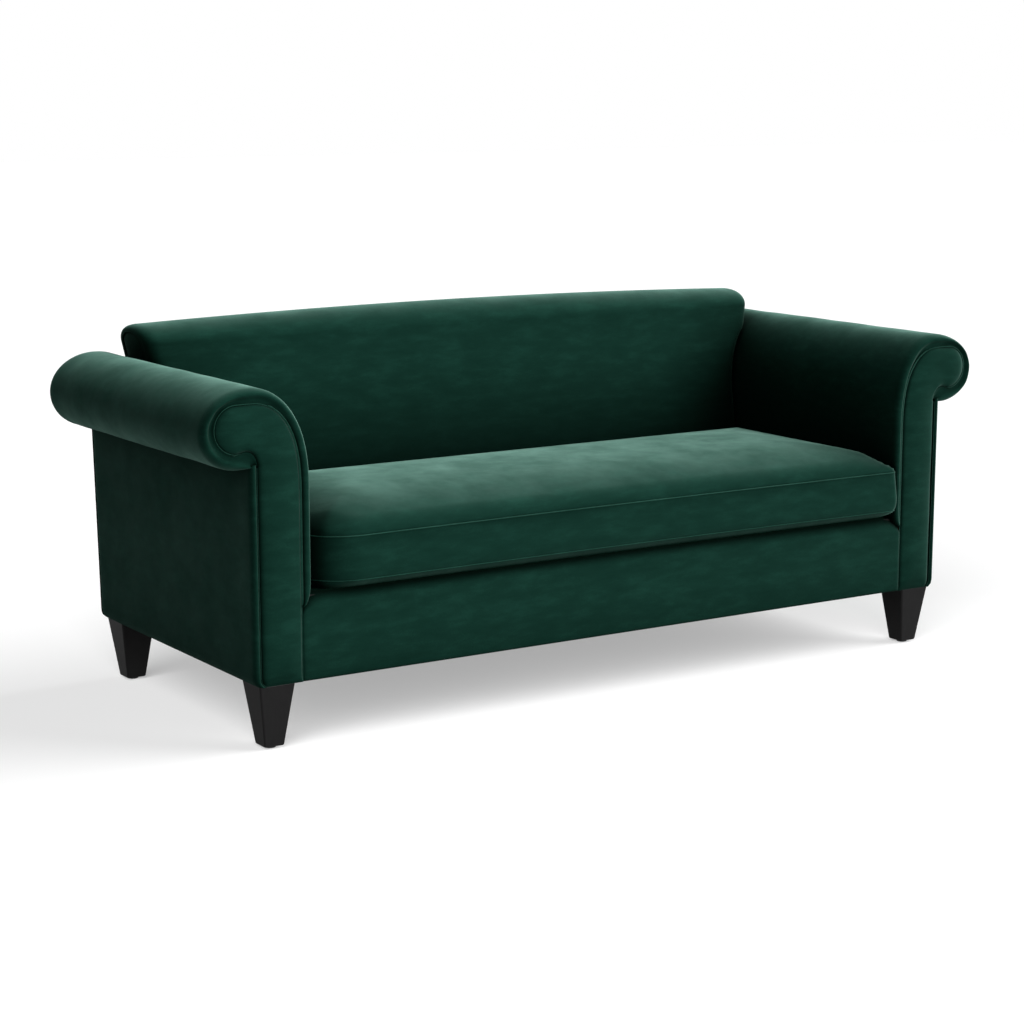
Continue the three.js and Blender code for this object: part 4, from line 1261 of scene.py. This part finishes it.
        # The part of the arm's rear outline that runs over the roll, from the notch to the back's waist.
        line = arm.line(arm.rear_round / 2.0 + trim, arm.foot)
        arc = line[line[:, 1] > arm.curl_z - arm.roll * 0.95][::-1]
        on_roll = (arc[:, 0] > arm.curl_x - 0.02) | (arc[:, 1] > arm.curl_z)
        arc = arc[(arc[:, 0] > self.waist - trim) & on_roll]
        tack = self.shoulder - self.tack + self.tuck - trim
        top = np.array([[float(self.end(np.array(tack))) - self.end_round - trim, tack]])
        across = np.linspace(top[0], -top[0] * np.array([1.0, -1.0]), 160)
        half = np.concatenate([side, arc])
        mirrored = (half * np.array([-1.0, 1.0]))[::-1]
        bottom = np.linspace(mirrored[-1], half[0], 240)[1:-1]
        return np.concatenate([half, across, mirrored, bottom])

    def outside(self) -> bpy.types.Object:
        """Builds the outside back, a tight panel with its edges turned in.

        Returns:
            The outside back.
        """
        outline = self.outside_outline(0.0)
        flat, faces, apart = filled(outline, 0.016, [self.outside_outline(0.003), self.outside_outline(0.008)])
        turned = self.turn_in * np.exp(-apart / self.turn_reach)
        y = self.arm.rear(flat[:, 1]) - turned + 0.001 * smooth(0.0, 0.08, apart)
        points = np.column_stack([flat[:, 0], y - self.outside_sink, flat[:, 1]])
        points[:, 1] += self.outside_wave * ripple(points, (0.3, 0.3, 0.2), 21.0) * smooth(0.0, 0.06, apart)
        return mesh_object("outside_back_panel", place(points, self.arm.front), faces, outward=False,
                           flip=True)

    def build(self, velvet: bpy.types.Material) -> None:
        """Builds the back's pieces and dresses them.

        Args:
            velvet: The cover's material.
        """
        cover, outside = self.cover(), self.outside()
        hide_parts("inside_back_cover", "back_padding")
        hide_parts("outside_back")
        for piece in (cover, outside):
            dress(piece, velvet)
        for side in Side:
            panel = self.end_panel(side)
            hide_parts(f"back_end_{side.label}")
            for piece in (panel, self.end_seam(side)):
                dress(piece, velvet)


@dataclass
class SeatBase:
    """The front border, the deck under the cushion and the dust cover below."""

    arm: ScrollArm
    border_set: float = 0.003
    border_top: float = 0.3213
    border_round: float = 0.026
    border_return: float = 0.075
    under_lip: float = 0.0238  # it runs on this far outside the inside face of each arm
    end_drop: float = 0.026
    end_reach: float = 0.080
    drop_fade: tuple[float, float] = (0.036, 0.022)  # depths over which the drop fades out towards the deck
    wave: float = 0.0011
    deck_play: float = 0.001
    deck_wave: float = 0.0012
    deck_crests: float = 4.0  # soft ridges over the springs, on each side of the middle
    sheet_wave: float = 0.0006
    # The turned-in lower edge, as pairs of a depth and a height over the foot.
    hem = ((0.011, 0.0005), (0.007, 0.0), (0.0045, 0.001), (0.0033, 0.004))
    # Points stand closer near the ends, at these distances from each.
    end_steps = (0.0, 0.002, 0.005, 0.009, 0.014, 0.020, 0.026, 0.033, 0.041, 0.050)

    def border(self) -> bpy.types.Object:
        """Builds the front border, rounded over the front rail and down at its ends.

        Returns:
            The border.
        """
        half = self.arm.inner + self.under_lip
        foot = self.arm.foot
        section = [(y, foot + z) for y, z in self.hem]
        shoulder = self.border_top - self.border_round
        section += [(self.border_set, z) for z in np.linspace(foot + 0.010, shoulder, 18)]
        section += [(self.border_set + self.border_round * (1.0 - math.sin(a)),
                     self.border_top - self.border_round * (1.0 - math.cos(a)))
                    for a in np.linspace(math.pi / 2.0, 0.0, 9)[1:]]
        section += [(y, self.border_top) for y in np.linspace(0.036, self.border_return, 5)]
        section = np.array(section)
        ends = np.concatenate([self.end_steps, np.linspace(0.060, half, 80)])
        x = np.concatenate([ends - half, -(ends[:-1] - half)[::-1]])
        grid = np.empty((len(x), len(section), 3))
        grid[..., 0] = x[:, None]
        grid[..., 1] = section[:, 0]
        grid[..., 2] = section[:, 1]
        to_end = half - np.abs(grid[..., 0])
        near = 1.0 - np.clip(to_end / self.end_reach, 0, 1)
        fall = self.end_drop * (1.0 - np.sqrt(np.clip(1.0 - near ** 2, 0, 1)))
        high = smooth(self.border_top - 0.07, self.border_top, grid[..., 2])
        grid[..., 2] -= fall * high * smooth(*self.drop_fade, grid[..., 1])
        grid[..., 1] += 0.003 * np.exp(-to_end / 0.003)
        face = smooth(0.0, 0.05, to_end) * smooth(foot, foot + 0.03, grid[..., 2])
        grid[..., 1] += self.wave * face * ripple(grid, (0.3, 0.2, 0.12), 31.0)
        return sheet("front_border_cover", place(grid, self.arm.front))

    def deck(self) -> bpy.types.Object:
        """Builds the deck cloth, which shows the springs below a little.

        Returns:
            The deck cloth.
        """
        low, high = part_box("deck_pad")
        columns = np.linspace(low[0] + self.deck_play, high[0] - self.deck_play, 120)
        rows = np.linspace(low[1] + self.deck_play, high[1] - self.deck_play, 44)
        x, y = np.meshgrid(columns, rows)
        crest = self.deck_wave * np.cos(x / self.arm.inner * self.deck_crests * 2.0 * math.pi)
        edge = np.minimum(x - low[0], high[0] - x)
        grid = np.stack([x, y, high[2] - 0.0015 + crest * smooth(0.0, 0.1, edge)], axis=-1)
        under = grid * np.array([1.0, 1.0, 0.0]) + np.array([0.0, 0.0, low[2] + self.deck_play])
        points, faces, _ = closed_grid(grid, under)
        return mesh_object("deck_cloth", points, faces)

    def dust_sheet(self) -> bpy.types.Object:
        """Builds the dust cover, stapled under the frame with its edges folded in.

        Returns:
            The dust cover.
        """
        low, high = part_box("dust_cover")
        x, y = np.meshgrid(np.linspace(low[0], high[0], 90), np.linspace(low[1], high[1], 40))
        edge = np.minimum.reduce([x - low[0], high[0] - x, y - low[1], high[1] - y])
        grid = np.stack([x, y, np.full_like(x, low[2] + 0.0008)], axis=-1)
        grid[..., 2] += self.sheet_wave * ripple(grid, (0.15, 0.12, 0.1), 41.0) * smooth(0.01, 0.05, edge)
        return sheet("dust_sheet", grid, flip=True)

    def build(self, velvet: bpy.types.Material, deck: bpy.types.Material, dust: bpy.types.Material) -> None:
        """Builds the base's pieces and dresses them.

        Args:
            velvet: The border's material.
            deck: The deck cloth's material.
            dust: The dust cover's material.
        """
        border, platform, sheet = self.border(), self.deck(), self.dust_sheet()
        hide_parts("front_border")
        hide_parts("deck_pad")
        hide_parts("dust_cover")
        dress(border, velvet)
        dress(platform, deck)
        dress(sheet, dust)


@dataclass
class BenchCushion:
    """The one loose seat cushion: boxed, crowned, with a plain seam above and below its boxing."""

    low: np.ndarray  # corners of its box in the frame
    high: np.ndarray
    bottom_round: float = 0.021
    boxing: float = 0.093
    corner: float = 0.012
    drawn_corner: float = 0.110  # the left front corner is drawn in much rounder than the others
    front_spread: float = 0.004  # its front corners spread over the edges of the arms
    swell: float = 0.004
    # The boxing from the lower seam to the upper: it swells low down and draws in under the upper seam.
    profile = ((0.0, 0.0), (0.06, 0.0022), (0.15, 0.0040), (0.28, 0.0048), (0.42, 0.0036), (0.58, 0.0012),
               (0.72, -0.0010), (0.84, -0.0022), (0.93, -0.0018), (1.0, 0.0))
    long_draw: float = 0.008
    short_draw: float = 0.003
    pitch: float = 0.009
    crown_power: float = 3.0
    edge_rise: float = 0.022  # the top panel stands up this much close to its seam
    edge_reach: float = 0.030
    under_power: float = 2.2
    under_reach: float = 0.045
    corner_fall: float = 0.010  # the top panel falls this much more towards each corner
    corner_reach: float = 0.16
    corner_ease: tuple[float, float] = (0.9, 1.4)
    draw_power: int = 8  # how closely the drawn-in sides keep to their edges
    spread_power: int = 30
    end_swell_power: int = 6
    seam: float = 0.0012  # half the thickness of a seam

    def outline(self, inset: np.ndarray, x: np.ndarray, y: np.ndarray) -> tuple[np.ndarray, np.ndarray]:
        """Turns places on a plain rectangle into the cushion's plan, with round corners and drawn-in sides.

        Args:
            inset: How far the plan is drawn in.
            x: Places along, from -1 to 1.
            y: Places across, from -1 to 1.

        Returns:
            The x and y in the frame.
        """
        middle = (self.low + self.high) / 2.0
        half_x = (self.high[0] - self.low[0]) / 2.0 - inset
        half_y = (self.high[1] - self.low[1]) / 2.0 - inset
        px, py = x * half_x, y * half_y
        radius = np.where((px < 0) & (py < 0), self.drawn_corner, self.corner)
        dx, dy = np.abs(px) - (half_x - radius), np.abs(py) - (half_y - radius)
        both = (dx > 0) & (dy > 0)
        qx, qy = np.clip(dx / radius, 0, 1), np.clip(dy / radius, 0, 1)
        mx = np.where(both, half_x - radius + radius * qx * np.sqrt(1 - qy ** 2 / 2), np.abs(px))
        my = np.where(both, half_y - radius + radius * qy * np.sqrt(1 - qx ** 2 / 2), np.abs(py))
        span_x = np.clip(1 - (mx / (half_x - radius)) ** 2, 0, 1)
        span_y = np.clip(1 - (my / (half_y - radius)) ** 2, 0, 1)
        fx = np.sign(px) * (mx - self.short_draw * (mx / half_x) ** self.draw_power * span_y)
        drawn = self.long_draw * (my / half_y) ** self.draw_power * span_x
        fy = np.sign(py) * my + np.where(py < 0, drawn, 0.0)
        spread = self.front_spread * smooth(0.86, 1.0, -fy / half_y) * (mx / half_x) ** self.spread_power
        return middle[0] + fx + np.sign(px) * spread, middle[1] + fy

    def build_mesh(self) -> tuple[bpy.types.Object, dict]:
        """Builds the closed cushion as a grid of quads.

        Returns:
            The cushion, and the vertices of its top and bottom seams.
        """
        half_x = (self.high[0] - self.low[0]) / 2.0
        half_y = (self.high[1] - self.low[1]) / 2.0
        nx, ny = round(2 * half_x / self.pitch), round(2 * half_y / self.pitch)
        seam_low = self.low[2] + self.bottom_round
        seam_high = seam_low + self.boxing
        crown = self.high[2] - seam_high
        u, v = np.linspace(-1, 1, nx + 1), np.linspace(-1, 1, ny + 1)
        # Finer next to the edges, where the crown is steep.
        u = np.sign(u) * (1 - (1 - np.abs(u)) * (0.55 + 0.45 * smooth(0.0, 0.05, 1 - np.abs(u))))
        v = np.sign(v) * (1 - (1 - np.abs(v)) * (0.55 + 0.45 * smooth(0.0, 0.12, 1 - np.abs(v))))
        gu, gv = np.meshgrid(u, v)
        edge = np.minimum((1 - np.abs(gu)) * half_x, (1 - np.abs(gv)) * half_y)
        x, y = self.outline(np.full_like(gu, self.swell), gu, gv)
        steep = np.sqrt(1 - (1 - np.clip(edge / self.edge_reach, 0, 1)) ** 2)
        rise = 1 - (1 - np.clip(edge / half_y, 0, 1)) ** self.crown_power
        near = [smooth(self.corner_reach, 0.0, (1 - np.abs(w)) * half)
                for w, half in ((gu, half_x), (gv, half_y))]
        height = self.edge_rise * steep + (crown - self.edge_rise) * rise
        height -= self.corner_fall * smooth(*self.corner_ease, np.hypot(*near)) * steep
        top = np.stack([x, y, seam_high + height], axis=-1)
        fall = self.bottom_round * (1 - (1 - np.clip(edge / self.under_reach, 0, 1)) ** self.under_power)
        under = np.stack([x, y, seam_low - fall], axis=-1)
        ring = rim(ny + 1, nx + 1)
        rows = round(self.boxing / (self.pitch * 0.8))
        ru, rv = np.array([u[c] for _, c in ring]), np.array([v[r] for r, _ in ring])
        side = []
        for i in range(1, rows):
            share = i / rows
            swell = float(np.interp(share, *zip(*self.profile)))
            end_swell = self.swell * (1 - (2 * share - 1) ** self.end_swell_power)
            sx, _ = self.outline(np.full_like(ru, self.swell) - end_swell, ru, rv)
            _, sy = self.outline(np.full_like(ru, self.swell) - swell, ru, rv)
            side.append(np.stack([sx, sy, np.full_like(sx, seam_low + share * self.boxing)], axis=-1))
        points, faces, loops = closed_grid(top, under, tuple(side))
        return mesh_object("seat_cushion_cover", points, faces), {"top": loops[-1], "bottom": loops[0]}

    def build(self, velvet: bpy.types.Material, seam_highlight_velvet: bpy.types.Material) -> None:
        """Builds the cushion and its seams and dresses them.

        Args:
            velvet: The cover's material.
            seam_highlight_velvet: The material of its seams, the velvet painted paler as a painted highlight.
        """
        cover, loops = self.build_mesh()
        points = np.array([v.co[:] for v in cover.data.vertices])
        seams = []
        for key in ("top", "bottom"):
            path = points[loops[key]]
            seams.append(tube(f"seat_cushion_{key}_seam", path, np.full(len(path), self.seam), closed=True))
        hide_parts("cushion_cover", "cushion_foam")
        dress(cover, velvet, "seat_cushion")
        for seam in seams:
            dress(seam, seam_highlight_velvet, "seat_cushion")


@dataclass
class TaperedLeg:
    """A square tapered leg with softened edges."""

    node: str
    foot: float = 0.023  # half its width at the floor
    sole: float = 0.002  # its foot is drawn in this much, over as much height
    edge: float = 0.0025  # flat cut along each edge
    soft: float = 0.0012  # rounding of every edge

    def build(self, lacquer: bpy.types.Material) -> None:
        """Builds the leg over its CAD solid and dresses it.

        Args:
            lacquer: The leg's material.
        """
        low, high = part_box(self.node)
        middle = [(a + b) / 2.0 for a, b in zip(low, high)]
        rows = [(low[2], self.foot - self.sole), (low[2] + self.sole, self.foot),
                (high[2], (high[0] - low[0]) / 2.0)]
        points = []
        for z, half in rows:
            for sx, sy in ((1, 1), (-1, 1), (-1, -1), (1, -1)):
                pair = [(half, half - self.edge), (half - self.edge, half)]
                points += [(middle[0] + sx * x, middle[1] + sy * y, z) for x, y in pair[::sx * sy]]
        around = len(points) // len(rows)
        faces = grid_faces(len(rows), around, loop=True)
        faces += [tuple(range(around)), tuple(range(len(points) - around, len(points)))]
        leg = mesh_object(f"{self.node}_lacquered", np.array(points), faces)
        leg.data.polygons.foreach_set("use_smooth", [False] * len(leg.data.polygons))
        bevel = leg.modifiers.new("edges", "BEVEL")
        bevel.width = self.soft
        bevel.segments = 3
        bevel.limit_method = "ANGLE"
        bevel.angle_limit = math.radians(20)
        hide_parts(self.node)
        dress(leg, lacquer)


@dataclass
class Studio:
    """The camera at the photograph's angle, a pale floor and soft light."""

    place: tuple[float, float, float] = (-3.0723, -4.6871, 1.3838)
    azimuth: float = -32.8667
    elevation: float = 10.41266
    lens: float = 84.78
    ambient: float = 0.02
    floor_half: float = 30.0
    floor_glow: float = 0.37
    floor_tone: float = 0.58
    floor_bounce: float = 0.26
    # Each lamp's name, azimuth (0 is in front, 90 to the right), elevation, strength and softness, in degrees.
    on_sofa = (("overhead", 112.0, 64.0, 2.48, 48.0), ("key", 22.0, 14.0, 1.5, 30.0),
               ("side", 74.0, 30.0, 1.3, 40.0))
    on_floor = (("sweep_left", -48.0, 27.0, 4.5, 60.0), ("sweep_right", 70.0, 26.0, 4.5, 60.0))

    def stand(self, name: str, data: bpy.types.ID, azimuth: float, elevation: float) -> bpy.types.Object:
        """Adds a camera or a lamp that looks at the set from a direction.

        Args:
            name: The object's name.
            data: The camera or the light.
            azimuth: Where it stands: 0 is in front, 90 to the right, in degrees.
            elevation: Its height in degrees.

        Returns:
            The object.
        """
        thing = bpy.data.objects.new(name, data)
        a, e = math.radians(azimuth), math.radians(elevation)
        toward = Vector((math.sin(a) * math.cos(e), -math.cos(a) * math.cos(e), math.sin(e)))
        thing.rotation_euler = toward.to_track_quat("Z", "Y").to_euler()
        bpy.context.scene.collection.objects.link(thing)
        return thing

    def camera(self) -> None:
        """Adds the camera and makes it the scene's own."""
        data = bpy.data.cameras.new("camera")
        data.lens = self.lens
        data.sensor_width = 36.0
        data.clip_end = 2.0 * self.floor_half
        camera = self.stand("camera", data, self.azimuth, self.elevation)
        camera.location = self.place
        bpy.context.scene.camera = camera

    def lamps(self, rows: tuple) -> list:
        """Adds soft lamps that stand far away.

        Args:
            rows: One row for each lamp: name, azimuth, elevation, strength and softness.

        Returns:
            The lamps.
        """
        made = []
        for name, azimuth, elevation, strength, softness in rows:
            data = bpy.data.lights.new(name, "SUN")
            data.energy = strength
            data.angle = math.radians(softness)
            made.append(self.stand(name, data, azimuth, elevation))
        return made

    def world(self) -> None:
        """Gives the world an even light, and white where the camera or a reflection sees it."""
        world = bpy.data.worlds.new("studio")
        world.use_nodes = True
        tree = world.node_tree
        tree.nodes.clear()
        path = add_node(tree, "ShaderNodeLightPath")
        mirrored = add_node(tree, "ShaderNodeMath", {"operation": "MAXIMUM"}, {
            0: path.outputs["Is Glossy Ray"], 1: path.outputs["Is Transmission Ray"]})
        seen = add_node(tree, "ShaderNodeMath", {"operation": "MAXIMUM"}, {
            0: path.outputs["Is Camera Ray"], 1: mirrored.outputs["Value"]})
        level = add_node(tree, "ShaderNodeMapRange", inputs={
            "Value": seen.outputs["Value"], "To Min": self.ambient, "To Max": 1.0})
        shader = add_node(tree, "ShaderNodeBackground", inputs={
            "Color": linear("#ffffff"), "Strength": level.outputs["Result"]})
        add_node(tree, "ShaderNodeOutputWorld", inputs={"Surface": shader.outputs["Background"]})
        bpy.context.scene.world = world

    def floor(self) -> bpy.types.Object:
        """Adds the floor: white to the camera, and it keeps the sofa's shadow.

        Returns:
            The floor.
        """
        points = self.floor_half * np.array([(-1, -1, 0), (1, -1, 0), (1, 1, 0), (-1, 1, 0)], float)
        floor = mesh_object("floor", points, [(0, 1, 2, 3)], outward=False)
        material, tree = blank_material("studio_floor")
        path = add_node(tree, "ShaderNodeLightPath")
        seen = add_node(tree, "ShaderNodeMath", {"operation": "MULTIPLY"}, {
            0: path.outputs["Is Camera Ray"], 1: self.floor_glow})
        # The floor throws back less light than it shows, as a sweep does that falls away round the set.
        pale = add_node(tree, "ShaderNodeMapRange", inputs={
            "Value": path.outputs["Is Camera Ray"], "To Min": self.floor_bounce, "To Max": self.floor_tone})
        matt = add_node(tree, "ShaderNodeBsdfDiffuse", inputs={"Color": pale.outputs["Result"]})
        glow = add_node(tree, "ShaderNodeEmission", inputs={
            "Color": linear("#ffffff"), "Strength": seen.outputs["Value"]})
        both = add_node(tree, "ShaderNodeAddShader", inputs={
            0: matt.outputs["BSDF"], 1: glow.outputs["Emission"]})
        add_node(tree, "ShaderNodeOutputMaterial", inputs={"Surface": both.outputs["Shader"]})
        floor.data.materials.append(material)
        return floor

    def aim(self, lamps: list, floor: bpy.types.Object, state: str) -> None:
        """Keeps lamps off the floor or on it alone.

        Args:
            lamps: The lamps.
            floor: The floor.
            state: EXCLUDE to keep them off it, INCLUDE to keep them on it.
        """
        group = bpy.data.collections.new(f"floor_{state.lower()}")
        group.objects.link(floor)
        group.collection_objects[0].light_linking.link_state = state
        for lamp in lamps:
            lamp.light_linking.receiver_collection = group

    def build(self) -> None:
        """Builds the whole studio."""
        self.camera()
        self.world()
        floor = self.floor()
        self.aim(self.lamps(self.on_sofa), floor, "EXCLUDE")
        self.aim(self.lamps(self.on_floor), floor, "INCLUDE")
        bpy.context.scene.view_settings.view_transform = "Standard"
        log.info("studio: camera, floor and %d soft lamps", len(self.on_sofa) + len(self.on_floor))


def carried_over(nodes: dict) -> None:
    """Gives each CAD node that stays its own procedural material.

    Args:
        nodes: The frame's node objects by name.
    """
    beech = SawnBeech().material()
    steel = BrightWire("spring_steel", "#8d9094", 0.35).material()
    timber = ("scroll_board", "side_rail", "tack_rail", "arm_rail", "back_post", "back_upright",
              "back_top_rail", "back_rail", "front_rail", "centre_stretcher", "corner_block")
    finishes = {
        **dict.fromkeys(timber, beech), "seat_springs": steel, "leg_bolt": steel,
        "glide": MouldedNylon().material(),
        "cushion_zip": WovenCloth("zip_tape_twill", "#143229", "#0a1d17", 0.0012).material(),
        "zip_slider": BrightWire("antique_brass_zip", "#9a8a68", 0.4).material(),
    }
    for name, obj in nodes.items():
        finish = next((f for stem, f in finishes.items() if name.startswith(stem)), None)
        if finish is None:
            continue
        for slot in obj.material_slots:
            slot.material = finish
        log.info("%s keeps its CAD shape, in %s", name, finish.name)


def main() -> None:
    """Builds the sofa piece by piece."""
    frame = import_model()
    low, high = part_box("arm_cover_right")
    front = low[1]
    Studio().build()
    velvet = CottonVelvet().material()
    # The seams and the groove cord are the velvet painted paler, a painted highlight, with less painted shade
    # beside other pieces.
    seam_highlight_velvet = CottonVelvet(name="cotton_velvet_seam_painted_highlight", deep="#1d4539", middle="#265346", brushed="#2f6153",
                            painted_sheen_share=1.0, shade_closeness=0.5).material()
    arms = [ScrollArm(side, front, low[0], high[2], high[0]) for side in Side]
    for arm in arms:
        arm.build(velvet, seam_highlight_velvet)
    TightBack(arms[1]).build(velvet)
    deck = WovenCloth("deck_cloth", "#0e1311", "#070a09", 0.0025).material()
    dust = WovenCloth("dust_cloth", "#1c1d1f", "#101112", 0.002).material()
    SeatBase(arms[1]).build(velvet, deck, dust)
    box = [np.array(corner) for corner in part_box("cushion_cover")]
    BenchCushion(*box).build(velvet, seam_highlight_velvet)
    lacquer = SatinLacquer().material()
    for row in ("front", "rear"):
        for side in Side:
            TaperedLeg(f"leg_{row}_{side.label}").build(lacquer)
    carried_over(frame["nodes"])


if __name__ == "__main__":
    main()
